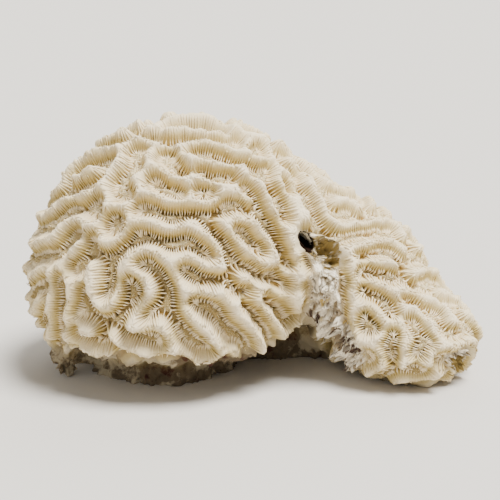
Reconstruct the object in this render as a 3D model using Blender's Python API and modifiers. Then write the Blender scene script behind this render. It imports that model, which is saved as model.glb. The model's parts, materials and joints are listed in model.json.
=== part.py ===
"""Brain coral skeleton: one massive, free-standing colony, about 120 x 74 x 67 mm.

The colony grew as one piece, so it is one solid: a tall dome, a lobe that slopes down to its right, and
the dead rock that both stand on, all cut off flat at z = 0.  Winding ridges cover the living surface, with
valleys between them.  A rough, dead scar with a borehole and two hollows parts the dome from the lobe.

The form is roughed out with spheres, Booleans and a voxel remesh, then drawn onto a smooth blend of the same
shapes.  The ridges of the front follow routes drawn by eye in a picture of it.  Everywhere else a
reaction-diffusion pattern of the same spacing grows on from them, as ridges do on a real colony.

Metres, +Z up, +X to the right of the front view, origin under the middle of the colony's box.
"""
from typing import NamedTuple

import bpy
import numpy as np
from mathutils import Matrix

MM = 0.001
NAME = "brain_coral"


class Blob(NamedTuple):
    """An ellipsoid: centre, half-axes, lean about Y in degrees, and its half-height below its centre."""
    centre: tuple
    radii: tuple
    lean: float = 0.0
    below: float = 0.0


# The colony's masses, in millimetres.
DOME = Blob((-22, 0, 22), (39, 37, 45.5), lean=6.5, below=30)
BROW = Blob((-8.5, 1, 44), (21, 27, 22), lean=4.5)
SHOULDER = Blob((12, 4, 33), (47.5, 27, 19.5), lean=38.0)
HIP = Blob((31, 4, 28), (19, 20, 13.5), lean=44.0)
TOE = Blob((39, -7, 10.5), (21, 20, 14.5))
STUMP = Blob((-24, -1, 3), (21.5, 18.5, 13))
ROCK = Blob((10, 14, 2), (26, 15, 15))
KNOB = Blob((-49.3, -10, 5.8), (5.2, 5.2, 7.0))       # a lump of rock under the rim, at its left end
RIM_HEIGHT = 6.3          # the dome's living rim hangs this far above the table
RIM_BLEND = 8.0           # how softly the dome turns under at its rim
LOBE_BLEND = 9.0
SWELL_BLEND = 6.0         # how softly the brow and the hip swell out of the dome and the lobe
BODY_BLEND = 4.0

# What is missing from them: the gap under the rim, between dome and toe, and the holes in the scar.
GAP = Blob((12.5, -30, 0), (9, 30, 14))
BOREHOLE = Blob((13.2, -20.5, 39.2), (1.5, 8, 2.8), lean=-20)
HOLLOW = Blob((18.3, -21.0, 37.4), (4.3, 3.8, 3.0))
POCKET = Blob((19.8, -22.0, 33.5), (2.8, 2.8, 1.3), lean=-14)
HOLES = (BOREHOLE, HOLLOW, POCKET)
HOLE_BLEND = 0.8

# Ridges and valleys.
RIDGE_SPACING = 7.3
VALLEY_DEPTH = 4.0
SHALLOWER = 0.32          # valleys on the lobe, and at the dome's left end, lose this share of their depth
LOBE_STARTS = (10, 28)    # along X, where the lobe begins and where it is reached in full
LEFT_END = (44, 54)       # along -X, the same of the dome's left end
CREST_ENDS = 0.08         # share of the way from crest to valley where the wall starts
FLOOR_STARTS = 0.9
FIELD_SPREAD = 0.9        # the pattern is softened by this much before the walls are cut
FULL_SWING = 0.8          # the softened pattern runs from this on a crest to minus this in a valley
CREST_HALF_WIDTH = 0.7    # a route pins the pattern to a crest this far to either side
PATTERN_SEED = 11
PATTERN_ROUNDS = 130
PATTERN_GAIN = 3.6
PATTERN_BIAS = 0.22       # keeps crests narrower than valleys
DEAD_DEPTH = 2.6          # dead surface lies this far below the crests
DEAD_ROUGHNESS = 0.9

# The picture that the routes were drawn in: where its viewer stands, and what a pixel is worth.
VIEW_TILT = np.radians(14.0)
VIEW_DISTANCE = 300.0
PIXEL = 0.27
PICTURE_CENTRE = np.array((250.0, 250.0))
ORIGIN_PIXEL = np.array((254.0, 363.0))

# Crest lines on the front, as picture points in pixels, chosen by eye.
ROUTES = {
    "long S": [(98, 244), (106, 242), (113, 238), (119, 231), (124, 225), (130, 220), (142, 216), (153, 219),
               (163, 230), (172, 230), (180, 223), (188, 218), (197, 221), (206, 229), (214, 240), (222, 252),
               (229, 263), (226, 271), (216, 271), (206, 266), (196, 260), (184, 257), (173, 260), (170, 267),
               (173, 276), (180, 284), (187, 293)],
    "S branch": [(187, 293), (200, 294), (214, 292), (228, 290)],
    "S tail": [(187, 293), (184, 303), (189, 314), (199, 322), (206, 332), (211, 343), (219, 353), (226, 358)],
    "zigzag": [(118, 268), (128, 270), (139, 275), (149, 283), (155, 294), (148, 302), (136, 311), (126, 321),
               (125, 331), (134, 336), (146, 333), (158, 324), (164, 331), (170, 343), (175, 357)],
    "zigzag arch": [(118, 268), (123, 257), (133, 249), (145, 246), (156, 251), (161, 261)],
    "zigzag spur": [(118, 268), (113, 279), (111, 292), (113, 305)],
    "left hook": [(84, 260), (91, 268), (92, 282), (91, 298), (96, 311), (106, 310)],
    "left band": [(63, 168), (72, 161), (84, 152), (96, 146), (110, 143), (118, 149), (112, 158), (103, 168),
                  (100, 180), (103, 194), (102, 206), (98, 215), (95, 225), (94, 235), (98, 244)],
    "left bridge": [(103, 195), (110, 201), (117, 205), (124, 203)],
    "left fork": [(95, 225), (90, 223), (79, 229), (75, 241), (72, 250), (64, 257), (54, 263)],
    "left shoulder": [(48, 240), (52, 228), (60, 217), (70, 215), (78, 222), (90, 223)],
    "left upper": [(44, 208), (52, 200), (64, 196), (78, 193), (90, 186), (97, 178)],
    "left edge 1": [(24, 246), (34, 242), (44, 240), (48, 240)],
    "left edge 2": [(25, 277), (31, 271), (38, 269), (45, 272)],
    "left edge 3": [(46, 308), (40, 304), (33, 304), (28, 311), (28, 322), (33, 333), (42, 341), (52, 345)],
    "left knob": [(60, 284), (61, 273), (54, 267), (46, 271), (44, 283), (44, 297), (46, 311), (45, 325), (44, 338)],
    "left upright": [(66, 300), (61, 311), (60, 324), (62, 336), (66, 344)],
    "left second knob": [(64, 294), (66, 284), (76, 280), (84, 284), (86, 300)],
    "left low": [(60, 318), (66, 325), (74, 331), (80, 341), (90, 340)],
    "left rim start": [(66, 344), (76, 350), (88, 355), (100, 357), (109, 357)],
    "left rim": [(103, 340), (112, 346), (128, 351), (145, 357), (160, 358)],
    "right of S": [(219, 217), (229, 229), (238, 241), (247, 250), (257, 256), (267, 262), (274, 271)],
    "low comb 1": [(240, 283), (252, 281), (264, 284), (276, 289), (287, 297), (297, 308), (303, 318)],
    "low comb 2": [(230, 303), (242, 300), (254, 301), (266, 307), (276, 315), (285, 326), (290, 336)],
    "low comb 3": [(232, 314), (243, 315), (253, 322), (260, 332), (266, 343), (268, 353)],
    "low rim": [(188, 362), (204, 366), (222, 364)],
    "flank 1": [(236, 212), (247, 217), (257, 225), (266, 235), (274, 243), (278, 255), (284, 268), (293, 279),
                (301, 292), (306, 303)],
    "flank 2": [(246, 160), (250, 168), (258, 178), (266, 187), (273, 196), (279, 208), (284, 220), (288, 232),
                (291, 246), (295, 259), (302, 271), (309, 283)],
    "flank 3": [(262, 132), (274, 145), (281, 160), (285, 175), (290, 190), (295, 205), (298, 218), (300, 229)],
    "flank 4": [(292, 165), (300, 183), (306, 197), (310, 210), (313, 222)],
    "flank 5": [(308, 176), (318, 187), (326, 199), (332, 212), (340, 223)],
    "long valley": [(122, 214), (124, 203), (131, 193), (142, 190), (156, 193), (168, 197), (182, 201),
                    (196, 202), (210, 201), (220, 197), (222, 187)],
    "upper loop": [(148, 190), (141, 182), (142, 170), (148, 161), (158, 163), (170, 169), (182, 176),
                   (190, 185), (193, 196)],
    "top loop": [(148, 161), (147, 148), (156, 140), (168, 138), (180, 144), (187, 155), (191, 167), (192, 178)],
    "top 1": [(180, 144), (190, 136), (204, 134), (216, 138), (228, 145), (240, 151)],
    "top 2": [(194, 152), (204, 157), (216, 162), (230, 163), (242, 159)],
    "top 3": [(196, 172), (206, 178), (218, 181), (230, 185), (240, 180), (246, 172)],
    "top 4": [(222, 187), (232, 192), (242, 192), (251, 194), (258, 203)],
    "top 5": [(246, 150), (256, 156), (268, 153), (276, 155)],
    "top 6": [(246, 150), (249, 140), (257, 134), (266, 136), (274, 145)],
    "top 7": [(112, 158), (119, 148), (124, 139), (134, 134), (146, 134), (156, 140)],
    "top 8": [(142, 126), (150, 121), (160, 120), (166, 128)],
    "top 9": [(166, 128), (176, 123), (188, 122), (197, 127)],
    "top 10": [(208, 129), (218, 125), (230, 126), (240, 124), (248, 130)],
    "top outline": [(150, 121), (163, 117), (178, 115), (194, 113), (210, 114), (226, 118), (240, 122), (253, 129),
                    (262, 132)],
    "lobe ring": [(351, 312), (357, 305), (368, 303), (379, 308), (386, 316), (387, 326), (381, 336), (371, 341),
                  (360, 340), (352, 332), (350, 321), (351, 312)],
    "lobe arch": [(351, 303), (352, 292), (359, 284), (370, 281), (382, 282), (392, 287), (400, 296), (404, 304)],
    "lobe upper": [(350, 272), (360, 261), (374, 258), (388, 259), (400, 262)],
    "lobe flank 1": [(338, 198), (347, 197), (357, 200), (364, 207)],
    "lobe flank 2": [(350, 224), (360, 219), (370, 222)],
    "lobe flank 3": [(374, 218), (384, 215), (395, 217), (403, 225), (409, 236)],
    "lobe flank 4": [(370, 246), (378, 239), (390, 237), (400, 241), (409, 249)],
    "lobe flank 5": [(346, 252), (354, 245), (364, 245)],
    "lobe flank 6": [(419, 276), (425, 268), (434, 266), (441, 273)],
    "lobe upright": [(404, 304), (403, 318), (404, 332), (403, 346), (402, 360), (400, 375)],
    "lobe right arch": [(404, 304), (415, 303), (425, 311), (430, 322), (436, 333), (446, 341), (456, 346)],
    "lobe right upper": [(404, 286), (416, 290), (428, 296), (440, 300), (450, 300)],
    "lobe low left": [(352, 350), (362, 348), (372, 350), (381, 358)],
    "lobe toe": [(366, 376), (376, 374), (384, 370)],
    "lobe low right": [(412, 366), (426, 368), (440, 372)],
    "lobe bottom": [(398, 383), (408, 386), (420, 385), (432, 381), (442, 376)],
    "lobe low spur": [(432, 355), (443, 351), (454, 348)],
}
# Dead patches: the scar between dome and lobe, and worn ground at the lobe's right end.  Each is a picture
# point and a radius in pixels.
SCAR = [(322, 246, 17), (330, 262, 17), (326, 284, 17), (326, 304, 17), (324, 324, 17), (334, 344, 18),
        (345, 362, 17), (335, 250, 13), (461, 368, 10), (473, 355, 7)]

# Mesh sizes.
ROUGH_VOXEL = 1.2
SOLID_VOXEL = 0.8
SOLID_TRIANGLES = 9600
CUT_MARGIN = 20.0         # the cutters reach this far past the colony


def lean_matrix(degrees):
    """Rotation about Y, as a 3 x 3 array whose rows are the leaned axes' places."""
    return np.array(Matrix.Rotation(np.radians(degrees), 3, "Y"))


def ellipsoid(points, blob):
    """Rough distance from an ellipsoid's surface, negative inside."""
    local = (points - np.array(blob.centre)) @ lean_matrix(blob.lean)
    radii = np.broadcast_to(np.array(blob.radii, float), local.shape).copy()
    if blob.below:
        radii[local[:, 2] < 0, 2] = blob.below
    reach = np.linalg.norm(local / radii, axis=1)
    steepness = np.linalg.norm(local / radii ** 2, axis=1)
    return reach * (reach - 1) / np.maximum(steepness, 1e-9)


def blend(a, b, width):
    """Union of two distances with a fillet of the given width."""
    share = np.clip(0.5 + 0.5 * (b - a) / width, 0, 1)
    return b + (a - b) * share - width * share * (1 - share)


def carve(a, b, width):
    """Distance a with b taken out of it, with a rounded edge of the given width."""
    return -blend(-a, b, width)


def body(points):
    """Rough distance from the colony's smooth form, before its ridges and without the holes in its scar."""
    dome = blend(ellipsoid(points, DOME), ellipsoid(points, BROW), SWELL_BLEND)
    dome = carve(dome, points[:, 2] - RIM_HEIGHT, RIM_BLEND)
    lobe = blend(ellipsoid(points, SHOULDER), ellipsoid(points, TOE), LOBE_BLEND)
    lobe = blend(lobe, ellipsoid(points, HIP), SWELL_BLEND)
    whole = blend(blend(dome, lobe, BODY_BLEND), rock(points), BODY_BLEND)
    return carve(whole, ellipsoid(points, GAP), BODY_BLEND)


def form(points):
    """Rough distance from the body with its holes."""
    distance = body(points)
    for hole in HOLES:
        distance = carve(distance, ellipsoid(points, hole), HOLE_BLEND)
    return distance


def rock(points):
    """Rough distance from the dead rock under the colony."""
    foot = blend(ellipsoid(points, STUMP), ellipsoid(points, ROCK), BODY_BLEND)
    return blend(foot, ellipsoid(points, KNOB), HOLE_BLEND)


def slope(shape, points, step=0.2):
    """Gradient of a shape's distance, by central differences."""
    axes = np.eye(3) * step
    return np.stack([shape(points + axis) - shape(points - axis) for axis in axes], 1) / (2 * step)


def drawn_onto_form(points, rounds=3, longest=1.0):
    """Points moved along the form's slope until they lie on it."""
    for _ in range(rounds):
        gradient = slope(form, points)
        move = form(points)[:, None] * gradient / np.maximum((gradient ** 2).sum(1, keepdims=True), 1e-6)
        points = points - move * np.minimum(1, longest / np.maximum(np.linalg.norm(move, axis=1), 1e-9))[:, None]
    return points


def put_in(obj, collection):
    """Move an object to a collection."""
    for other in obj.users_collection:
        other.objects.unlink(obj)
    collection.objects.link(obj)


def blob_object(blob, collection):
    """A sphere primitive scaled and leaned to a blob, at its real size."""
    bpy.ops.mesh.primitive_uv_sphere_add(segments=64, ring_count=32, radius=1)
    obj = bpy.context.object
    for vertex in obj.data.vertices:
        up = blob.below if blob.below and vertex.co.z < 0 else blob.radii[2]
        vertex.co = (vertex.co.x * blob.radii[0], vertex.co.y * blob.radii[1], vertex.co.z * up)
    place = Matrix.Translation(blob.centre) @ Matrix.Rotation(np.radians(blob.lean), 4, "Y")
    obj.data.transform(Matrix.Scale(MM, 4) @ place)
    put_in(obj, collection)
    return obj


def slab_object(low, high, collection):
    """A box from its lowest to its highest corner, in millimetres."""
    bpy.ops.mesh.primitive_cube_add(size=1)
    obj = bpy.context.object
    low, high = np.array(low, float), np.array(high, float)
    obj.data.transform(Matrix.LocRotScale(MM * (low + high) / 2, None, MM * (high - low)))
    put_in(obj, collection)
    obj.hide_render = True
    obj.display_type = "WIRE"
    return obj


def add_boolean(obj, operation, other):
    """Join or cut an object with another one."""
    modifier = obj.modifiers.new(operation.lower(), "BOOLEAN")
    modifier.operation = operation
    modifier.object = other


def evaluated_mesh(obj):
    """The object's mesh with its modifiers, as a new mesh."""
    bpy.context.view_layer.update()
    return bpy.data.meshes.new_from_object(obj.evaluated_get(bpy.context.evaluated_depsgraph_get()))


def rough_mesh(collection):
    """The masses joined, the gap and the holes cut out, remeshed in even quads of ROUGH_VOXEL."""
    reach = 100.0
    dome = blob_object(DOME, collection)
    add_boolean(dome, "DIFFERENCE", slab_object((-reach, -reach, -reach), (reach, reach, RIM_HEIGHT), collection))
    for mass in (BROW, SHOULDER, HIP, TOE, STUMP, ROCK, KNOB):
        add_boolean(dome, "UNION", blob_object(mass, collection))
    for hole in (GAP, *HOLES):
        add_boolean(dome, "DIFFERENCE", blob_object(hole, collection))
    remesh = dome.modifiers.new("even quads", "REMESH")
    remesh.mode = "VOXEL"
    remesh.voxel_size = ROUGH_VOXEL * MM
    mesh = evaluated_mesh(dome)
    for obj in list(collection.objects):
        bpy.data.objects.remove(obj)
    return mesh


class Surface:
    """The rough mesh as arrays, in millimetres, with averaging over each vertex's neighbours."""

    def __init__(self, mesh):
        self.mesh = mesh
        points = np.empty(len(mesh.vertices) * 3)
        mesh.vertices.foreach_get("co", points)
        edges = np.empty(len(mesh.edges) * 2, np.int64)
        mesh.edges.foreach_get("vertices", edges)
        self.points = points.reshape(-1, 3) / MM
        ends = edges.reshape(-1, 2)
        self.here = np.concatenate([ends[:, 0], ends[:, 1]])
        self.there = np.concatenate([ends[:, 1], ends[:, 0]])
        self.count = np.bincount(self.here, minlength=len(self.points))
        for _ in range(8):
            columns = [self.smoothed(column, 1) for column in self.points.T]
            self.points = drawn_onto_form(np.stack(columns, 1), rounds=2)
        self.edge_length = np.linalg.norm(self.points[self.here] - self.points[self.there], axis=1).mean()
        gradient = slope(body, self.points)
        self.normals = gradient / np.linalg.norm(gradient, axis=1, keepdims=True)

    def smoothed(self, values, steps):
        """Values moved halfway to their neighbours' mean, the given number of times."""
        for _ in range(steps):
            total = np.bincount(self.here, values[self.there], len(values))
            values = 0.5 * values + 0.5 * total / self.count
        return values

    def steps_for(self, spread):
        """How many smoothing steps spread a value as a Gaussian of this standard deviation does."""
        return max(1, round(4 * (spread / self.edge_length) ** 2))

    def lumps(self, spread, rng):
        """Random lumps of the given spread, with a standard deviation of 1."""
        values = self.smoothed(rng.standard_normal(len(self.points)), self.steps_for(spread))
        return (values - values.mean()) / values.std()


def viewer():
    """The viewer's place and its right, up and forward directions."""
    right = np.array((1.0, 0, 0))
    up = np.array((0, np.sin(VIEW_TILT), np.cos(VIEW_TILT)))
    forward = np.array((0, np.cos(VIEW_TILT), -np.sin(VIEW_TILT)))
    aside = (ORIGIN_PIXEL - PICTURE_CENTRE) * PIXEL
    return -forward * VIEW_DISTANCE - right * aside[0] + up * aside[1], right, up, forward


def in_picture(points):
    """Picture pixels and depth of points."""
    eye, right, up, forward = viewer()
    depth = (points - eye) @ forward
    across = (points - eye) @ np.stack([right, -up], 1)
    return PICTURE_CENTRE + across / depth[:, None] * VIEW_DISTANCE / PIXEL, depth


def from_picture(pixels, depth):
    """Points at picture pixels and depths."""
    eye, right, up, forward = viewer()
    across = (np.asarray(pixels) - PICTURE_CENTRE) * PIXEL / VIEW_DISTANCE
    return eye + depth[:, None] * (forward + across @ np.stack([right, -up]))


def seen(surface, pixels, depth, cell=8, thickness=5.0):
    """Which vertices the viewer sees: they face the viewer, and nothing in their cell is much nearer."""
    eye = viewer()[0]
    facing = ((surface.points - eye) * surface.normals).sum(1) < -0.05 * depth
    cells = np.floor(pixels / cell).astype(int) @ np.array((1, 1000))
    nearest = np.full(cells.max() + 1, np.inf)
    np.minimum.at(nearest, cells, depth)
    return facing & (depth < nearest[cells] + thickness)


def crest_points(surface, pixels, depth, visible):
    """The routes laid on the surface, as points about half a millimetre apart."""
    steps = np.linspace(0, 1, 8, endpoint=False)[:, None]
    lines = []
    for route in ROUTES.values():
        route = np.array(route, float)
        for start, end in zip(route[:-1], route[1:]):
            lines.append(start + (end - start) * steps)
        lines.append(route[-1:])
    line = np.concatenate(lines)
    front = np.flatnonzero(visible)
    gaps = ((line[:, None] - pixels[front][None]) ** 2).sum(2)
    return from_picture(line, depth[front[gaps.argmin(1)]])


def ridge_pattern(surface, crest, rng):
    """A field of 1 on crests and -1 in valleys.

    Each round takes the difference of two Gaussian means, the broad one twice as wide as the narrow one,
    steepens it with tanh, and sets the crests again.  It settles into stripes 6.54 narrow spreads apart.
    """
    narrow = surface.steps_for(RIDGE_SPACING / 6.54)
    broad = surface.steps_for(2 * RIDGE_SPACING / 6.54)
    field = rng.uniform(-1, 1, len(surface.points))
    for _ in range(PATTERN_ROUNDS):
        near = surface.smoothed(field, narrow)
        far = surface.smoothed(near, broad - narrow)
        field = np.tanh(PATTERN_GAIN * (near - far) - PATTERN_BIAS)
        field[crest] = 1
    return field


def ramp(values, low, high):
    """0 below low, 1 above high, and a smooth step between."""
    share = np.clip((values - low) / (high - low), 0, 1)
    return share * share * (3 - 2 * share)


def dead_share(surface, pixels, visible):
    """1 on the underside, the rock, the scar and its holes, 0 on the living surface."""
    on_lobe = ramp(surface.points[:, 0], *LOBE_STARTS)
    under = ramp(-surface.normals[:, 2] - 0.1 * on_lobe, 0.6, 0.88)
    stone = ramp(form(surface.points) - rock(surface.points), -1.5, -0.2)
    places = np.array(SCAR, float)
    reach = np.linalg.norm(pixels[:, None] - places[None, :, :2], axis=2) - places[:, 2]
    scar = visible * ramp(-reach.min(1), -2, 2)
    near_hole = np.abs([ellipsoid(surface.points, hole) for hole in HOLES]).min(0)
    return surface.smoothed(np.maximum.reduce([under, stone, scar, ramp(-near_hole, -0.9, -0.3)]), 2)


def ridged_mesh(surface):
    """The surface with its ridges, valleys and dead ground."""
    rng = np.random.default_rng(PATTERN_SEED)
    pixels, depth = in_picture(surface.points)
    visible = seen(surface, pixels, depth)
    crests = crest_points(surface, pixels, depth, visible)
    distance = np.full(len(surface.points), np.inf)
    for start in range(0, len(crests), 200):
        gaps = surface.points[:, None] - crests[None, start:start + 200]
        distance = np.minimum(distance, np.sqrt((gaps ** 2).sum(2)).min(1))
    field = ridge_pattern(surface, distance < CREST_HALF_WIDTH, rng)
    dead = dead_share(surface, pixels, visible)
    field = surface.smoothed(field, surface.steps_for(FIELD_SPREAD))
    way = np.arccos(np.clip(field / FULL_SWING, -1, 1)) / np.pi
    x = surface.points[:, 0]
    share = 1 - SHALLOWER * (ramp(x, *LOBE_STARTS) + ramp(-x, *LEFT_END))
    valley = VALLEY_DEPTH * share * ramp(way, CREST_ENDS, FLOOR_STARTS)
    ground = DEAD_DEPTH + DEAD_ROUGHNESS * np.clip(surface.lumps(1.6, rng), -1.6, 1.6)
    drop = valley * (1 - dead) + ground * dead
    points = surface.points - surface.normals * drop[:, None]
    surface.mesh.vertices.foreach_set("co", (points * MM).ravel())
    surface.mesh.update()
    return surface.mesh


def coral_material():
    """Bare coral skeleton: ivory, matt and chalky."""
    material = bpy.data.materials.new("coral skeleton")
    material.use_nodes = True
    shader = material.node_tree.nodes["Principled BSDF"]
    shader.inputs["Base Color"].default_value = (0.73, 0.64, 0.47, 1)
    shader.inputs["Roughness"].default_value = 0.9
    shader.inputs["Metallic"].default_value = 0.0
    return material


def build_coral(collection, cutters):
    """The colony: ridged, thinned to SOLID_TRIANGLES, cut flat at z = 0 and centred on the origin."""
    mesh = ridged_mesh(Surface(rough_mesh(cutters)))
    coral = bpy.data.objects.new(NAME, mesh)
    collection.objects.link(coral)
    remesh = coral.modifiers.new("one closed skin", "REMESH")
    remesh.mode = "VOXEL"
    remesh.voxel_size = SOLID_VOXEL * MM
    smooth = coral.modifiers.new("worn", "SMOOTH")
    smooth.factor = 0.5
    smooth.iterations = 2
    thinned = evaluated_mesh(coral)
    thinned.calc_loop_triangles()
    decimate = coral.modifiers.new("fewer faces", "DECIMATE")
    decimate.ratio = SOLID_TRIANGLES / len(thinned.loop_triangles)
    places = np.empty(len(thinned.vertices) * 3)
    thinned.vertices.foreach_get("co", places)
    bpy.data.meshes.remove(thinned)
    places = places.reshape(-1, 3)
    low, high = places.min(0), places.max(0)
    middle = (low + high) / 2
    mesh.transform(Matrix.Translation((-middle[0], -middle[1], 0)))
    margin = CUT_MARGIN
    size = (high - low) / MM / 2 + margin
    floor = slab_object((-size[0], -size[1], -size[2]), (size[0], size[1], 0), cutters)
    add_boolean(coral, "DIFFERENCE", floor)
    mesh.materials.clear()
    mesh.materials.append(coral_material())
    return coral


def main():
    for obj in list(bpy.data.objects):
        bpy.data.objects.remove(obj)
    collection = bpy.data.collections.new(NAME)
    cutters = bpy.data.collections.new("cutters")
    for new in (collection, cutters):
        bpy.context.scene.collection.children.link(new)
    build_coral(collection, cutters)


main()
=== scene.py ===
"""Looks of a brain coral skeleton: its ridged skin, its septa, its columella and its dead ground.

The skin is a blend of ellipsoids, with a field over it that is high on the crests of the ridges and low in
the valleys.  The ridges of the front follow routes drawn in a picture of it, and a reaction-diffusion
pattern carries them on over the rest.  Septa, the thin plates that cross the ridges, are traced down the
field's slope, a spongy tangle of rods fills the middle of each valley, and a finer patch of broken lumps
covers the scar.

Everything is worked out in millimetres in the colony's own coordinates and placed in metres at the end.
"""
import json
import logging
from collections.abc import Callable, Iterable, Sequence
from dataclasses import dataclass, field
from enum import Enum

import bmesh
import bpy
import numpy as np
from mathutils import Matrix, Vector

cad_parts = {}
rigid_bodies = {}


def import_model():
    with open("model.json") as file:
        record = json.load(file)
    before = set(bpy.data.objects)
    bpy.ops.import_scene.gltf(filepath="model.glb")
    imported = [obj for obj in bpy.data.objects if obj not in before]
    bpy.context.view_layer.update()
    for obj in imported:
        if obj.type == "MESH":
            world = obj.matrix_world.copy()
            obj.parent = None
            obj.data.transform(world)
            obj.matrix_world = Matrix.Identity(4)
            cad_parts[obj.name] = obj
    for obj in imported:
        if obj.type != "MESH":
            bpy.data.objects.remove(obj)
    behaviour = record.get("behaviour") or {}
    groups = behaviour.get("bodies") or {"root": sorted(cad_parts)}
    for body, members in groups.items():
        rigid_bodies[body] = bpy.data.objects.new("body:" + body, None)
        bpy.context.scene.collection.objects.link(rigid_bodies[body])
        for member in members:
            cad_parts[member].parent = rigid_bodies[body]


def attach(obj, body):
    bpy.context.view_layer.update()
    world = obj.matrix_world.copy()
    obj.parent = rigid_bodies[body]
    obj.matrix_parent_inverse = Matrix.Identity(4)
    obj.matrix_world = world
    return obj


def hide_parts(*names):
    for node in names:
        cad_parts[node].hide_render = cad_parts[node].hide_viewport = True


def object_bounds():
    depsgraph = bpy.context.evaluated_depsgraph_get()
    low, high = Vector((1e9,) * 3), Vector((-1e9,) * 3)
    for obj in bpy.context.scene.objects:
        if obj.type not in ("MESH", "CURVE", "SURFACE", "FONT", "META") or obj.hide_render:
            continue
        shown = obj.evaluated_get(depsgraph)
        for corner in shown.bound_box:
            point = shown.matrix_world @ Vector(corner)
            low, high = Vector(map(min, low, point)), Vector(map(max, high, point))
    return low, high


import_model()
CAD_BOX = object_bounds()

# A low and a high value: where a smooth step starts and ends, or what a random draw lies between.
Span = tuple[float, float]

MM = 0.001
TINY = 1e-12
# Rows of a big table of distances that are worked out at a time.
BATCH = 200
NODE = "brain_coral"
BODY = "root"
log = logging.getLogger("brain_coral")


def lean_matrix(degrees: float) -> np.ndarray:
    """Rotation about Y as a 3 x 3 array."""
    return np.array(Matrix.Rotation(np.radians(degrees), 3, "Y"))


def ramp(values: np.ndarray, low: float, high: float) -> np.ndarray:
    """0 below low, 1 above high, and the smooth step 3s^2 - 2s^3 between."""
    share = np.clip((values - low) / (high - low), 0, 1)
    return share * share * (3 - 2 * share)


def unit(vectors: np.ndarray) -> np.ndarray:
    """Vectors of length 1 along the last axis."""
    return vectors / np.maximum(np.linalg.norm(vectors, axis=-1, keepdims=True), TINY)


def cell_numbers(points: np.ndarray, size: float) -> np.ndarray:
    """The number of the square or cube that each point lies in: column + 1000 row + 1000000 layer."""
    cells = np.floor(points / size).astype(int)
    return cells @ np.array((1, 1000, 1000000))[:cells.shape[1]]


def first_in_cells(points: np.ndarray, size: float) -> np.ndarray:
    """Numbers of the points that come first in their cell, in the cells' order."""
    return np.unique(cell_numbers(points, size), return_index=True)[1]


def spot_gap(pixels: np.ndarray, spots: Sequence[tuple[int, int, int]]) -> np.ndarray:
    """Distance in pixels from the edge of the nearest spot, negative inside it."""
    gap = np.full(len(pixels), np.inf)
    for x, y, radius in spots:
        gap = np.minimum(gap, np.hypot(pixels[:, 0] - x, pixels[:, 1] - y) - radius)
    return gap


def blend(a: np.ndarray, b: np.ndarray, width: float) -> np.ndarray:
    """Union of two distances with a fillet: the smaller one, less a parabola where they are close."""
    share = np.clip(0.5 + 0.5 * (b - a) / width, 0, 1)
    return b + (a - b) * share - width * share * (1 - share)


def carve(a: np.ndarray, b: np.ndarray, width: float) -> np.ndarray:
    """Distance a with b taken out of it, with a rounded edge."""
    return -blend(-a, b, width)


def slope(shape: Callable[[np.ndarray], np.ndarray], points: np.ndarray, step: float = 0.2) -> np.ndarray:
    """Gradient of a shape's distance, by central differences."""
    axes = np.eye(3) * step
    return np.stack([shape(points + axis) - shape(points - axis) for axis in axes], 1) / (2 * step)


@dataclass(frozen=True)
class Mass:
    """An ellipsoid: centre, half-axes, lean about Y in degrees, and its half-height below its centre."""

    centre: tuple[float, float, float]
    radii: tuple[float, float, float]
    lean: float = 0.0
    below: float = 0.0

    def distance(self, points: np.ndarray) -> np.ndarray:
        """Rough distance from the surface, negative inside: k(k - 1)/g, k the reach and g its steepness."""
        local = (points - np.array(self.centre)) @ lean_matrix(self.lean)
        radii = np.broadcast_to(np.array(self.radii, float), local.shape).copy()
        if self.below:
            radii[local[:, 2] < 0, 2] = self.below
        reach = np.linalg.norm(local / radii, axis=1)
        steepness = np.linalg.norm(local / radii ** 2, axis=1)
        return reach * (reach - 1) / np.maximum(steepness, TINY)

    def sphere(self, collection: bpy.types.Collection, rings: int = 32) -> bpy.types.Object:
        """A sphere primitive scaled and leaned to this mass, at its real size."""
        bpy.ops.mesh.primitive_uv_sphere_add(segments=2 * rings, ring_count=rings, radius=1)
        obj = bpy.context.object
        for vertex in obj.data.vertices:
            up = self.below if self.below and vertex.co.z < 0 else self.radii[2]
            vertex.co = (vertex.co.x * self.radii[0], vertex.co.y * self.radii[1], vertex.co.z * up)
        place = Matrix.Translation(self.centre) @ Matrix.Rotation(np.radians(self.lean), 4, "Y")
        obj.data.transform(Matrix.Scale(MM, 4) @ place)
        move_to(obj, collection)
        return obj


def move_to(obj: bpy.types.Object, collection: bpy.types.Collection) -> None:
    """Moves an object to a collection."""
    for other in obj.users_collection:
        other.objects.unlink(obj)
    collection.objects.link(obj)


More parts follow.
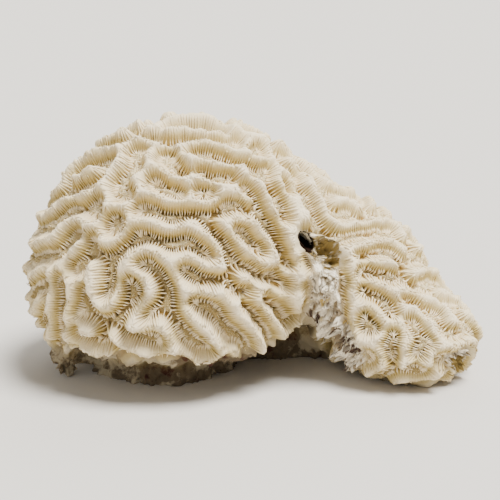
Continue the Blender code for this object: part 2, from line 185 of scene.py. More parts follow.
@dataclass(frozen=True)
class Form:
    """The colony's smooth form, before its ridges, as a distance worked out from its masses."""

    dome: Mass = Mass((-22, 0, 22), (39, 37, 45.5), lean=6.5, below=30)
    brow: Mass = Mass((-8.5, 1, 44), (21, 27, 22), lean=4.5)
    shoulder: Mass = Mass((12, 4, 33), (47.5, 27, 19.5), lean=38.0)
    hip: Mass = Mass((31, 4, 28), (19, 20, 13.5), lean=44.0)
    toe: Mass = Mass((39, -7, 10.5), (21, 20, 14.5))
    stump: Mass = Mass((-24, -1, 3), (21.5, 18.5, 13))
    bedrock: Mass = Mass((10, 14, 2), (26, 15, 15))
    knob: Mass = Mass((-49.3, -10, 5.8), (5.2, 5.2, 7.0))
    gap: Mass = Mass((12.5, -30, 0), (9, 30, 14))
    borehole: Mass = Mass((13.2, -20.5, 39.2), (1.5, 8, 2.8), lean=-20)
    hollow: Mass = Mass((18.3, -21.0, 37.4), (4.3, 3.8, 3.0))
    pocket: Mass = Mass((19.8, -22.0, 33.5), (2.8, 2.8, 1.3), lean=-14)
    rim_height: float = 6.3
    rim_blend: float = 8.0
    lobe_blend: float = 9.0
    swell_blend: float = 6.0
    body_blend: float = 4.0
    hole_blend: float = 0.8
    voxel: float = 1.2

    @property
    def holes(self) -> tuple[Mass, ...]:
        """The borehole and the two hollows in the scar."""
        return self.borehole, self.hollow, self.pocket

    def rock(self, points: np.ndarray) -> np.ndarray:
        """Distance from the dead rock under the colony."""
        foot = blend(self.stump.distance(points), self.bedrock.distance(points), self.body_blend)
        return blend(foot, self.knob.distance(points), self.hole_blend)

    def body(self, points: np.ndarray) -> np.ndarray:
        """Distance from the form without its holes: masses blended, then the rim and the gap carved out."""
        dome = blend(self.dome.distance(points), self.brow.distance(points), self.swell_blend)
        dome = carve(dome, points[:, 2] - self.rim_height, self.rim_blend)
        lobe = blend(self.shoulder.distance(points), self.toe.distance(points), self.lobe_blend)
        lobe = blend(lobe, self.hip.distance(points), self.swell_blend)
        whole = blend(blend(dome, lobe, self.body_blend), self.rock(points), self.body_blend)
        return carve(whole, self.gap.distance(points), self.body_blend)

    def distance(self, points: np.ndarray) -> np.ndarray:
        """Distance from the form with its holes."""
        whole = self.body(points)
        for hole in self.holes:
            whole = carve(whole, hole.distance(points), self.hole_blend)
        return whole

    def outward(self, points: np.ndarray) -> np.ndarray:
        """Unit vectors out of the body, also inside its holes."""
        return unit(slope(self.body, points))

    def drawn_on(self, points: np.ndarray, rounds: int = 2, longest: float = 1.0,
                 least_square: float = 1e-6) -> np.ndarray:
        """Points moved along the slope until they lie on the form, by Newton's steps of limited length."""
        for _ in range(rounds):
            gradient = slope(self.distance, points)
            square = np.maximum((gradient ** 2).sum(1, keepdims=True), least_square)
            move = self.distance(points)[:, None] * gradient / square
            size = np.maximum(np.linalg.norm(move, axis=1, keepdims=True), TINY)
            points = points - move * np.minimum(1, longest / size)
        return points

    def rough_mesh(self) -> bpy.types.Mesh:
        """The masses joined, the gap and holes cut out, and remeshed in even quads."""
        workshop = bpy.data.collections.new("workshop")
        bpy.context.scene.collection.children.link(workshop)
        whole = self.dome.sphere(workshop)
        bpy.ops.mesh.primitive_cube_add(size=1)
        below = bpy.context.object
        reach = 200 * MM
        below.data.transform(Matrix.LocRotScale(Vector((0, 0, self.rim_height * MM - reach / 2)), None,
                                                Vector((reach, reach, reach))))
        move_to(below, workshop)
        join_or_cut(whole, "DIFFERENCE", below)
        for mass in (self.brow, self.shoulder, self.hip, self.toe, self.stump, self.bedrock, self.knob):
            join_or_cut(whole, "UNION", mass.sphere(workshop))
        for hole in (self.gap, *self.holes):
            join_or_cut(whole, "DIFFERENCE", hole.sphere(workshop))
        remesh = whole.modifiers.new("even quads", "REMESH")
        remesh.mode = "VOXEL"
        remesh.voxel_size = self.voxel * MM
        bpy.context.view_layer.update()
        depsgraph = bpy.context.evaluated_depsgraph_get()
        mesh = bpy.data.meshes.new_from_object(whole.evaluated_get(depsgraph))
        for obj in list(workshop.objects):
            bpy.data.objects.remove(obj)
        bpy.data.collections.remove(workshop)
        return mesh


def join_or_cut(obj: bpy.types.Object, operation: str, other: bpy.types.Object) -> None:
    """Adds a Boolean modifier to obj."""
    modifier = obj.modifiers.new(operation.lower(), "BOOLEAN")
    modifier.operation = operation
    modifier.object = other


class Skin:
    """A closed quad surface as arrays, with averaging over each vertex's neighbours."""

    def __init__(self, points: np.ndarray, quads: np.ndarray, form: Form) -> None:
        self.points = points
        self.quads = quads
        self.form = form
        sides = np.stack([quads, np.roll(quads, -1, axis=1)], 2).reshape(-1, 2)
        low, high = sides.min(1), sides.max(1)
        keys, self.quad_sides = np.unique(low * len(points) + high, return_inverse=True)
        self.quad_sides = self.quad_sides.reshape(-1, 4)
        self.edges = np.stack([keys // len(points), keys % len(points)], 1)
        self.here = np.concatenate([self.edges[:, 0], self.edges[:, 1]])
        self.there = np.concatenate([self.edges[:, 1], self.edges[:, 0]])
        self.count = np.bincount(self.here, minlength=len(points))
        self.normals = np.zeros_like(points)
        self.edge_length = 0.0

    @classmethod
    def from_mesh(cls, mesh: bpy.types.Mesh, form: Form, rounds: int = 8) -> "Skin":
        """The skin of a mesh of quads in metres, relaxed while it is drawn onto the form."""
        points = np.empty(len(mesh.vertices) * 3)
        mesh.vertices.foreach_get("co", points)
        corners = np.empty(len(mesh.loops), np.int64)
        mesh.loops.foreach_get("vertex_index", corners)
        skin = cls(points.reshape(-1, 3) / MM, corners.reshape(-1, 4), form)
        for _ in range(rounds):
            skin.points = form.drawn_on(skin.smoothed(skin.points, 1))
        return skin.measured()

    def measured(self) -> "Skin":
        """Works out the normals and the mean edge length from the places as they are now."""
        self.normals = self.form.outward(self.points)
        self.edge_length = self.mean_edge()
        return self

    def mean_edge(self) -> float:
        """The mean distance between two joined vertices."""
        return np.linalg.norm(self.points[self.here] - self.points[self.there], axis=1).mean()

    def split(self) -> "Skin":
        """Each quad split in four, by its sides' middles and its own."""
        sides = len(self.points) + self.quad_sides
        middles = np.arange(len(self.quads)) + len(self.points) + len(self.edges)
        parts = [np.stack([self.quads[:, k], sides[:, k], middles, sides[:, k - 1]], 1) for k in range(4)]
        return Skin(self.carried(self.points), np.concatenate(parts), self.form)

    def halved(self) -> "Skin":
        """The split skin drawn onto the form again."""
        finer = self.split()
        finer.points = self.form.drawn_on(finer.smoothed(finer.points, 1))
        return finer.measured()

    def carried(self, values: np.ndarray) -> np.ndarray:
        """Values of this skin's vertices for those of the halved one: themselves, then the means."""
        return np.concatenate([values, values[self.edges].mean(1), values[self.quads].mean(1)])

    def smoothed(self, values: np.ndarray, steps: int) -> np.ndarray:
        """Values moved halfway to their neighbours' mean, the given number of times."""
        if values.ndim == 2:
            return np.stack([self.smoothed(column, steps) for column in values.T], 1)
        for _ in range(steps):
            total = np.bincount(self.here, values[self.there], len(values))
            values = 0.5 * values + 0.5 * total / self.count
        return values

    def steps_for(self, spread: float) -> int:
        """How many smoothing steps spread a value as a Gaussian of this standard deviation does.

        A step adds a quarter of the squared edge length to the variance.
        """
        return max(1, round(4 * (spread / self.edge_length) ** 2))

    def lumps(self, spread: float, rng: np.random.Generator) -> np.ndarray:
        """Random lumps of the given spread, with a standard deviation of 1."""
        values = self.smoothed(rng.standard_normal(len(self.points)), self.steps_for(spread))
        return (values - values.mean()) / values.std()

    def gradient(self, values: np.ndarray) -> np.ndarray:
        """Slope of a value along the surface: twice the mean of difference x direction / distance."""
        reach = self.points[self.there] - self.points[self.here]
        share = (values[self.there] - values[self.here]) / (reach ** 2).sum(1)
        parts = [np.bincount(self.here, share * column, len(values)) for column in reach.T]
        total = 2 * np.stack(parts, 1) / self.count[:, None]
        return total - self.normals * (total * self.normals).sum(1, keepdims=True)


@dataclass(frozen=True)
class Viewpoint:
    """Where the picture's viewer stands.

    The tilt is in degrees, distance, pixel and sensor are in millimetres, and places in pixels.
    """

    tilt: float = 14.0
    distance: float = 300.0
    pixel: float = 0.27
    width: int = 500
    centre: tuple[float, float] = (250.0, 250.0)
    origin: tuple[float, float] = (254.0, 363.0)
    sensor: float = 36.0
    grazing: float = 0.05

    def axes(self) -> tuple[np.ndarray, np.ndarray, np.ndarray]:
        """The viewer's right, up and forward directions."""
        lean = np.radians(self.tilt)
        up = np.array((0, np.sin(lean), np.cos(lean)))
        return np.array((1.0, 0, 0)), up, np.array((0, np.cos(lean), -np.sin(lean)))

    def eye(self) -> np.ndarray:
        """The viewer's place, such that the colony's origin shows at its pixel."""
        right, up, forward = self.axes()
        aside = (np.array(self.origin) - np.array(self.centre)) * self.pixel
        return -forward * self.distance - right * aside[0] + up * aside[1]

    def picture(self, points: np.ndarray) -> tuple[np.ndarray, np.ndarray]:
        """Pixels and depths of points."""
        right, up, forward = self.axes()
        depth = (points - self.eye()) @ forward
        across = (points - self.eye()) @ np.stack([right, -up], 1)
        return np.array(self.centre) + across / depth[:, None] * self.distance / self.pixel, depth

    def points(self, pixels: np.ndarray, depth: np.ndarray) -> np.ndarray:
        """Points at pixels and depths."""
        right, up, forward = self.axes()
        across = (pixels - np.array(self.centre)) * self.pixel / self.distance
        return self.eye() + depth[:, None] * (forward + across @ np.stack([right, -up]))

    def seen(self, skin: Skin, cell: int = 8, thickness: float = 5.0) -> np.ndarray:
        """Which vertices the viewer sees: they face the viewer, with nothing much nearer in their cell."""
        pixels, depth = self.picture(skin.points)
        facing = ((skin.points - self.eye()) * skin.normals).sum(1) < -self.grazing * depth
        cells = cell_numbers(pixels, cell)
        nearest = np.full(cells.max() + 1, np.inf)
        np.minimum.at(nearest, cells, depth)
        return facing & (depth < nearest[cells] + thickness)

    def camera(self, shift: np.ndarray) -> None:
        """Puts the scene's camera at this viewpoint."""
        data = bpy.data.cameras.new("camera")
        data.sensor_width = self.sensor
        data.lens = data.sensor_width * self.distance / (self.pixel * self.width)
        data.clip_start = 1 * MM
        camera = bpy.data.objects.new("camera", data)
        bpy.context.scene.collection.objects.link(camera)
        right, up, forward = self.axes()
        turn = Matrix((right, up, -forward)).transposed().to_4x4()
        camera.matrix_world = Matrix.Translation((self.eye() + shift) * MM) @ turn
        bpy.context.scene.camera = camera


# Crest lines on the front, as picture points in pixels, chosen one by one.
ROUTES: dict[str, list[tuple[int, int]]] = {
    "long S": [(98, 244), (106, 242), (113, 238), (119, 231), (124, 225), (130, 220), (142, 216), (153, 219),
               (163, 230), (172, 230), (180, 223), (188, 218), (197, 221), (206, 229), (214, 240), (222, 252),
               (229, 263), (226, 271), (216, 271), (206, 266), (196, 260), (184, 257), (173, 260), (170, 267),
               (173, 276), (180, 284), (187, 293)],
    "S branch": [(187, 293), (200, 294), (214, 292), (228, 290)],
    "S tail": [(187, 293), (184, 303), (189, 314), (199, 322), (206, 332), (211, 343), (219, 353), (226, 358)],
    "zigzag": [(118, 268), (128, 270), (139, 275), (149, 283), (155, 294), (148, 302), (136, 311), (126, 321),
               (125, 331), (134, 336), (146, 333), (158, 324), (164, 331), (170, 343), (175, 357)],
    "zigzag arch": [(118, 268), (123, 257), (133, 249), (145, 246), (156, 251), (161, 261)],
    "zigzag spur": [(118, 268), (113, 279), (111, 292), (113, 305)],
    "left hook": [(84, 260), (91, 268), (92, 282), (91, 298), (96, 311), (106, 310)],
    "left band": [(63, 168), (72, 161), (84, 152), (96, 146), (110, 143), (118, 149), (112, 158), (103, 168),
                  (100, 180), (103, 194), (102, 206), (98, 215), (95, 225), (94, 235), (98, 244)],
    "left bridge": [(103, 195), (110, 201), (117, 205), (124, 203)],
    "left fork": [(95, 225), (90, 223), (79, 229), (75, 241), (72, 250), (64, 257), (54, 263)],
    "left shoulder": [(48, 240), (52, 228), (60, 217), (70, 215), (78, 222), (90, 223)],
    "left upper": [(44, 208), (52, 200), (64, 196), (78, 193), (90, 186), (97, 178)],
    "left edge 1": [(24, 246), (34, 242), (44, 240), (48, 240)],
    "left edge 2": [(25, 277), (31, 271), (38, 269), (45, 272)],
    "left edge 3": [(46, 308), (40, 304), (33, 304), (28, 311), (28, 322), (33, 333), (42, 341), (52, 345)],
    "left knob": [(60, 284), (61, 273), (54, 267), (46, 271), (44, 283), (44, 297), (46, 311), (45, 325),
                  (44, 338)],
    "left upright": [(66, 300), (61, 311), (60, 324), (62, 336), (66, 344)],
    "left second knob": [(64, 294), (66, 284), (76, 280), (84, 284), (86, 300)],
    "left low": [(60, 318), (66, 325), (74, 331), (80, 341), (90, 340)],
    "left rim start": [(66, 344), (76, 350), (88, 355), (100, 357), (109, 357)],
    "left rim": [(103, 340), (112, 346), (128, 351), (145, 357), (160, 358)],
    "right of S": [(219, 217), (229, 229), (238, 241), (247, 250), (257, 256), (267, 262), (274, 271)],
    "low comb 1": [(240, 283), (252, 281), (264, 284), (276, 289), (287, 297), (297, 308), (303, 318)],
    "low comb 2": [(230, 303), (242, 300), (254, 301), (266, 307), (276, 315), (285, 326), (290, 336)],
    "low comb 3": [(232, 314), (243, 315), (253, 322), (260, 332), (266, 343), (268, 353)],
    "low rim": [(188, 362), (204, 366), (222, 364)],
    "flank 1": [(236, 212), (247, 217), (257, 225), (266, 235), (274, 243), (278, 255), (284, 268), (293, 279),
                (301, 292), (306, 303)],
    "flank 2": [(246, 160), (250, 168), (258, 178), (266, 187), (273, 196), (279, 208), (284, 220), (288, 232),
                (291, 246), (295, 259), (302, 271), (309, 283)],
    "flank 3": [(262, 132), (274, 145), (281, 160), (285, 175), (290, 190), (295, 205), (298, 218), (300, 229)],
    "flank 4": [(292, 165), (300, 183), (306, 197), (310, 210), (313, 222)],
    "flank 5": [(308, 176), (318, 187), (326, 199), (332, 212), (340, 223)],
    "long valley": [(122, 214), (124, 203), (131, 193), (142, 190), (156, 193), (168, 197), (182, 201),
                    (196, 202), (210, 201), (220, 197), (222, 187)],
    "upper loop": [(148, 190), (141, 182), (142, 170), (148, 161), (158, 163), (170, 169), (182, 176),
                   (190, 185), (193, 196)],
    "top loop": [(148, 161), (147, 148), (156, 140), (168, 138), (180, 144), (187, 155), (191, 167),
                 (192, 178)],
    "top 1": [(180, 144), (190, 136), (204, 134), (216, 138), (228, 145), (240, 151)],
    "top 2": [(194, 152), (204, 157), (216, 162), (230, 163), (242, 159)],
    "top 3": [(196, 172), (206, 178), (218, 181), (230, 185), (240, 180), (246, 172)],
    "top 4": [(222, 187), (232, 192), (242, 192), (251, 194), (258, 203)],
    "top 5": [(246, 150), (256, 156), (268, 153), (276, 155)],
    "top 6": [(246, 150), (249, 140), (257, 134), (266, 136), (274, 145)],
    "top 7": [(112, 158), (119, 148), (124, 139), (134, 134), (146, 134), (156, 140)],
    "top 8": [(142, 126), (150, 121), (160, 120), (166, 128)],
    "top 9": [(166, 128), (176, 123), (188, 122), (197, 127)],
    "top 10": [(208, 129), (218, 125), (230, 126), (240, 124), (248, 130)],
    "top outline": [(150, 121), (163, 117), (178, 115), (194, 113), (210, 114), (226, 118), (240, 122),
                    (253, 129), (262, 132)],
    "lobe ring": [(351, 312), (357, 305), (368, 303), (379, 308), (386, 316), (387, 326), (381, 336),
                  (371, 341), (360, 340), (352, 332), (350, 321), (351, 312)],
    "lobe arch": [(351, 303), (352, 292), (359, 284), (370, 281), (382, 282), (392, 287), (400, 296),
                  (404, 304)],
    "lobe upper": [(350, 272), (360, 261), (374, 258), (388, 259), (400, 262)],
    "lobe flank 1": [(338, 198), (347, 197), (357, 200), (364, 207)],
    "lobe flank 2": [(350, 224), (360, 219), (370, 222)],
    "lobe flank 3": [(374, 218), (384, 215), (395, 217), (403, 225), (409, 236)],
    "lobe flank 4": [(370, 246), (378, 239), (390, 237), (400, 241), (409, 249)],
    "lobe flank 5": [(346, 252), (354, 245), (364, 245)],
    "lobe flank 6": [(419, 276), (425, 268), (434, 266), (441, 273)],
    "lobe upright": [(404, 304), (403, 318), (404, 332), (403, 346), (402, 360), (400, 375)],
    "lobe right arch": [(404, 304), (415, 303), (425, 311), (430, 322), (436, 333), (446, 341), (456, 346)],
    "lobe right upper": [(404, 286), (416, 290), (428, 296), (440, 300), (450, 300)],
    "lobe low left": [(352, 350), (362, 348), (372, 350), (381, 358)],
    "lobe toe": [(366, 376), (376, 374), (384, 370)],
    "lobe low right": [(412, 366), (426, 368), (440, 372)],
    "lobe bottom": [(398, 383), (408, 386), (420, 385), (432, 381), (442, 376)],
    "lobe low spur": [(432, 355), (443, 351), (454, 348)],
}
# Dead patches: the scar between dome and lobe, and worn ground at the lobe's right end.  These, and the ochre
# and dark spots below, are picture points and radii in pixels.
SCAR: list[tuple[int, int, int]] = [
    (322, 246, 17), (330, 262, 17), (326, 284, 17), (326, 304, 17), (324, 324, 17), (334, 344, 18),
    (345, 362, 17), (335, 250, 13), (461, 368, 10), (473, 355, 7),
]
# Knolls (up) and pits (down) of the scar: picture point and radius in pixels, and height in millimetres.
KNOLLS: list[tuple[int, int, int, float]] = [
    (320, 330, 14, 2.9), (321, 285, 10, 2.0), (335, 295, 8, 1.8), (317, 269, 8, 1.8), (331, 272, 7, 1.6),
    (316, 350, 9, 1.6), (342, 352, 7, 2.0), (342, 321, 6, 1.4), (326, 256, 6, 1.1), (312, 254, 5, 1.0),
    (326, 306, 5, 1.2), (346, 331, 4, 1.0), (327, 246, 6, -1.2), (338, 338, 7, -2.2), (331, 312, 6, -1.6),
    (311, 303, 5, -1.9), (333, 263, 4, -1.4), (348, 341, 5, -2.0), (308, 317, 5, -1.6), (351, 357, 5, -1.5),
    (341, 307, 4, -1.3), (326, 277, 4, -1.2), (313, 292, 4, -1.2),
]
# Dark grit on the scar; the last five, low on the scar, are painted shade of its shadowed underside.
DARK_GRIT_AND_SHADE: list[tuple[int, int, int]] = [
    (314, 300, 2), (311, 313, 3), (318, 316, 3), (326, 306, 3), (337, 330, 3), (344, 337, 5), (349, 345, 5),
    (356, 351, 4), (307, 321, 2), (318, 338, 4), (326, 347, 7), (334, 357, 8), (343, 367, 7), (323, 358, 5),
]
OCHRE_STAINS: list[tuple[int, int, int]] = [
    (325, 248, 9), (335, 262, 6), (348, 279, 4), (347, 301, 4), (345, 292, 3), (461, 366, 9), (473, 355, 6),
    (441, 310, 5), (431, 277, 4),
]


@dataclass
class Ridges:
    """The ridges' pattern and cross-section.

    Lengths are in millimetres.  `stripe_ratio` is how many spreads of its narrow mean the pattern's stripes
    lie apart.
    """

    view: Viewpoint
    spacing: float = 7.3
    stripe_ratio: float = 6.54
    route_parts: int = 8
    valley_depth: float = 4.0
    shallower: float = 0.32
    lobe_starts: Span = (10, 28)
    left_end: Span = (44, 54)
    crest_half_width: float = 0.7
    seed: int = 11
    rounds: int = 130
    gain: float = 3.6
    bias: float = 0.22
    full_swing: float = 0.8
    crest_ends: float = 0.08
    floor_starts: float = 0.9
    shoulder_pared: float = 0.45
    pared_from: Span = (0.02, 0.28)
    pared_to: Span = (0.4, 0.8)

    def crest_points(self, skin: Skin, visible: np.ndarray) -> np.ndarray:
        """The routes laid on the surface, each stretch between two picked points in equal parts."""
        steps = np.linspace(0, 1, self.route_parts, endpoint=False)[:, None]
        lines = []
        for route in ROUTES.values():
            ends = np.array(route, float)
            lines += [start + (end - start) * steps for start, end in zip(ends[:-1], ends[1:])]
            lines.append(ends[-1:])
        line = np.concatenate(lines)
        pixels, depth = self.view.picture(skin.points[visible])
        gaps = ((line[:, None] - pixels[None]) ** 2).sum(2)
        return self.view.points(line, depth[gaps.argmin(1)])

    def pattern(self, skin: Skin, visible: np.ndarray, rng: np.random.Generator) -> np.ndarray:
        """A field that is 1 on crests and -1 in valleys.

        Each round takes the difference of two Gaussian means, the broad one twice as wide as the narrow one,
        steepens it with tanh, and sets the crests of the routes again, until it settles into stripes.
        """
        crests = self.crest_points(skin, visible)
        distance = np.full(len(skin.points), np.inf)
        for start in range(0, len(crests), BATCH):
            gaps = skin.points[:, None] - crests[None, start:start + BATCH]
            distance = np.minimum(distance, np.sqrt((gaps ** 2).sum(2)).min(1))
        pinned = distance < self.crest_half_width
        narrow = skin.steps_for(self.spacing / self.stripe_ratio)
        broad = skin.steps_for(2 * self.spacing / self.stripe_ratio)
        values = rng.uniform(-1, 1, len(skin.points))
        for _ in range(self.rounds):
            near = skin.smoothed(values, narrow)
            far = skin.smoothed(near, broad - narrow)
            values = np.tanh(self.gain * (near - far) - self.bias)
            values[pinned] = 1
        return values

    def across(self, values: np.ndarray) -> np.ndarray:
        """The way from crest, 0, to the middle of a valley, 1: the arc cosine of the smoothed field."""
        return np.arccos(np.clip(values / self.full_swing, -1, 1)) / np.pi

    def share(self, points: np.ndarray) -> np.ndarray:
        """Share of the full valley depth at these points: less on the lobe and at the dome's left end."""
        x = points[:, 0]
        return 1 - self.shallower * (ramp(x, *self.lobe_starts) + ramp(-x, *self.left_end))

    def crown(self, way: np.ndarray, share: np.ndarray) -> np.ndarray:
        """Depth of the septa's edges below the crest: a smooth step to the floor, with the shoulder pared off.

        Args:
            way: from 0 on the crest to 1 in the middle of the valley.
            share: of the full valley depth.
        """
        pared = self.shoulder_pared * ramp(way, *self.pared_from) * (1 - ramp(way, *self.pared_to))
        return share * (self.valley_depth * ramp(way, self.crest_ends, self.floor_starts) + pared)


def linear(code: str) -> tuple[float, float, float, float]:
    """An sRGB hex colour as linear RGBA."""
    parts = [int(code[i:i + 2], 16) / 255 for i in (1, 3, 5)]
    red, green, blue = (p / 12.92 if p <= 0.04045 else ((p + 0.055) / 1.055) ** 2.4 for p in parts)
    return red, green, blue, 1.0


def per_metre(millimetres: float) -> float:
    """A texture scale whose features are this many millimetres across."""
    return 1 / (millimetres * MM)


def add(tree: bpy.types.NodeTree, kind: str, links: dict[str, object] | None = None,
        **settings: object) -> bpy.types.Node:
    """Adds a node.

    Args:
        tree: the material's node tree.
        kind: the node's type name.
        links: for each input, by name or number, a value, or an output socket to link it to.
        settings: the node's own settings.

    Returns:
        The node.
    """
    node = tree.nodes.new(kind)
    for name, value in settings.items():
        setattr(node, name, value)
    for key, value in (links or {}).items():
        socket = node.inputs[int(key)] if key.isdigit() else node.inputs[key]
        if isinstance(value, bpy.types.NodeSocket):
            tree.links.new(value, socket)
        else:
            socket.default_value = value
    return node


def colour_ramp(tree: bpy.types.NodeTree, value: bpy.types.NodeSocket,
                stops: Sequence[tuple[float, str]]) -> bpy.types.NodeSocket:
    """A colour ramp over (position, sRGB hex) stops, and its colour output."""
    node = add(tree, "ShaderNodeValToRGB", {"Fac": value})
    elements = node.color_ramp.elements
    while len(elements) < len(stops):
        elements.new(0.5)
    for element, (position, code) in zip(elements, stops):
        element.position = position
        element.color = linear(code)
    return node.outputs["Color"]


def mixed(tree: bpy.types.NodeTree, share: bpy.types.NodeSocket | float, a: object, b: object,
          mode: str = "MIX") -> bpy.types.NodeSocket:
    """Two colours mixed by a share, and the result's socket."""
    node = add(tree, "ShaderNodeMix", {"0": share, "6": a, "7": b}, data_type="RGBA", blend_type=mode)
    return node.outputs[2]


def bare_material(name: str) -> tuple[bpy.types.Material, bpy.types.NodeTree, bpy.types.Node]:
    """A new node material, its tree and its Principled shader."""
    material = bpy.data.materials.new(name)
    material.use_nodes = True
    return material, material.node_tree, material.node_tree.nodes["Principled BSDF"]


def plain_scalars(shader: bpy.types.Node, roughness: float, specular: float) -> None:
    """Sets how matt a surface is and how much it mirrors, alike all over it."""
    shader.inputs["Roughness"].default_value = roughness
    shader.inputs["Specular IOR Level"].default_value = specular


def attribute(tree: bpy.types.NodeTree, name: str) -> bpy.types.NodeSocket:
    """The value of one of the mesh's float attributes."""
    return add(tree, "ShaderNodeAttribute", attribute_name=name).outputs["Fac"]


@dataclass(frozen=True)
class Finish:
    """A finish of the skeleton: a colour that varies over it, roughness and mirroring that don't."""

    name: str
    roughness: float = 0.9
    specular: float = 0.2

    def colour(self, tree: bpy.types.NodeTree) -> bpy.types.NodeSocket:
        """Adds the nodes of the base colour, and gives its socket."""
        raise NotImplementedError

    def material(self) -> bpy.types.Material:
        """The finish as a material."""
        material, tree, shader = bare_material(self.name)
        tree.links.new(self.colour(tree), shader.inputs["Base Color"])
        plain_scalars(shader, self.roughness, self.specular)
        return material


@dataclass(frozen=True)
class Ridged(Finish):
    """Living skeleton: cream on the crests, then down the walls a pale painted lit copy where they face the
    sky, and a golden painted shade copy where they are turned from it.

    Attributes of the mesh say where a point lies: `way` runs from crest to valley, and `shade` is 1 where the
    surface is turned from the sky.
    """

    crest: str = "#ECDBB8"
    painted_lit_shoulder: str = "#E8D7B1"
    painted_lit_wall: str = "#D9C79E"
    shoulder: str = "#DAC89C"
    wall: str = "#BCA566"

    def living(self, tree: bpy.types.NodeTree, painted_lit_valley: Sequence[tuple[float, str]],
               painted_shade_valley: Sequence[tuple[float, str]]) -> bpy.types.NodeSocket:
        """The colour of crests and walls, followed by the stops given for the valleys."""
        # Painted light and shade: a lit copy for faces towards the sky, a golden shaded copy for the rest.
        way = attribute(tree, "way")
        painted_shade = colour_ramp(tree, way, [(0.05, self.crest), (0.22, self.shoulder), (0.46, self.wall),
                                            *painted_shade_valley])
        painted_lit = colour_ramp(tree, way, [(0.08, self.crest), (0.25, self.painted_lit_shoulder),
                                           (0.50, self.painted_lit_wall), *painted_lit_valley])
        return mixed(tree, attribute(tree, "shade"), painted_lit, painted_shade)


@dataclass(frozen=True)
class Aragonite(Ridged):
    """Bare coral skeleton: porous aragonite, matt and chalky, with a fine grain, and brown in its slots: mostly
    painted shade, over the skeleton's own tan.

    Off the living surface, where the attribute `dead` is 1, it is plain chalk.  Where `rock` is 1 as well, on
    the dead rock under the colony and on surfaces that face down, it is grey-brown, with pale patches and dark
    red-brown spots, darkened as painted shade under the colony.
    """

    name: str = "bare aragonite skeleton"
    # Valley stops, lit copy then shaded copy: darkest in the slots between the septa, as painted shade.
    painted_lit_slot: str = "#C2A563"
    painted_lit_floor: str = "#D9C99F"
    slot: str = "#8F7236"
    floor: str = "#A48F5F"
    chalk: str = "#DDD0B4"
    # The rock's own grey-brown, pale patches and red-brown spots, made darker as painted shade under the
    # colony.
    rock: str = "#5F523E"
    rock_light: str = "#A09379"
    rock_spot: str = "#40231B"
    rock_patch: float = 8.0
    grain: float = 0.35
    bump_strength: float = 0.5
    bump_height: float = 0.3

    def colour(self, tree: bpy.types.NodeTree) -> bpy.types.NodeSocket:
        """The living surface's colour, the chalk's and the rock's, each in its place."""
        living = self.living(tree, [(0.68, self.painted_lit_slot), (0.86, self.painted_lit_floor)],
                             [(0.56, self.wall), (0.68, self.slot), (0.86, self.floor)])
        place = add(tree, "ShaderNodeTexCoord").outputs["Object"]
        patches = add(tree, "ShaderNodeTexNoise", {"Vector": place, "Scale": per_metre(self.rock_patch),
                                                   "Detail": 6.0, "Roughness": 0.65})
        stony = colour_ramp(tree, patches.outputs["Fac"], [(0.37, self.rock_spot), (0.42, self.rock),
                                                           (0.50, self.rock), (0.57, self.rock_light)])
        ground = mixed(tree, attribute(tree, "rock"), linear(self.chalk), stony)
        return mixed(tree, attribute(tree, "dead"), living, ground)

    def material(self) -> bpy.types.Material:
        """The skin's material, with its grain as a bump."""
        material = super().material()
        tree = material.node_tree
        place = add(tree, "ShaderNodeTexCoord").outputs["Object"]
        fine = add(tree, "ShaderNodeTexNoise", {"Vector": place, "Scale": per_metre(self.grain),
                                                "Detail": 2.0})
        bump = add(tree, "ShaderNodeBump", {"Height": fine.outputs["Fac"], "Strength": self.bump_strength,
                                            "Distance": self.bump_height * MM})
        tree.links.new(bump.outputs["Normal"], tree.nodes["Principled BSDF"].inputs["Normal"])
        return material


@dataclass(frozen=True)
class SeptalPlate(Ridged):
    """The septa: thin dense plates of the same aragonite, a little smoother, with cream teeth, and golden feet
    that are painted shade where they meet the skin, with a paler painted lit copy on surfaces facing the sky.

    The attribute `rise` is 0 at a plate's foot and 1 at its edge.
    """

    name: str = "aragonite septa"
    roughness: float = 0.85
    specular: float = 0.25
    crest: str = "#EEDEBC"
    painted_lit_shoulder: str = "#EAD9B4"
    painted_lit_wall: str = "#DECDA6"
    shoulder: str = "#DECCA4"
    wall: str = "#C2AC70"
    tooth: str = "#EFDDB6"
    # Feet: painted shade where the plates meet the skin, and its painted lit copy for surfaces facing the sky.
    foot: str = "#A08441"
    painted_lit_foot: str = "#C9B480"

    def colour(self, tree: bpy.types.NodeTree) -> bpy.types.NodeSocket:
        """The colour of the plates' edges, turning to the foot's towards the skin."""
        edge = self.living(tree, [(0.68, self.tooth)], [(0.58, self.wall), (0.72, self.tooth)])
        foot = mixed(tree, attribute(tree, "shade"), linear(self.painted_lit_foot), linear(self.foot))
        return mixed(tree, attribute(tree, "rise"), foot, edge)


@dataclass(frozen=True)
class Sponge(Finish):
    """The columella's rods: spongy aragonite, matt, from golden brown to cream, rod by rod by their `tint`."""

    name: str = "spongy aragonite"
    dark: str = "#AC9057"
    middle: str = "#D8C493"
    pale: str = "#EEE0C0"

    def colour(self, tree: bpy.types.NodeTree) -> bpy.types.NodeSocket:
        """The rods' colour."""
        return colour_ramp(tree, attribute(tree, "tint"), [(0.0, self.dark), (0.35, self.middle),
                                                           (0.75, self.pale)])


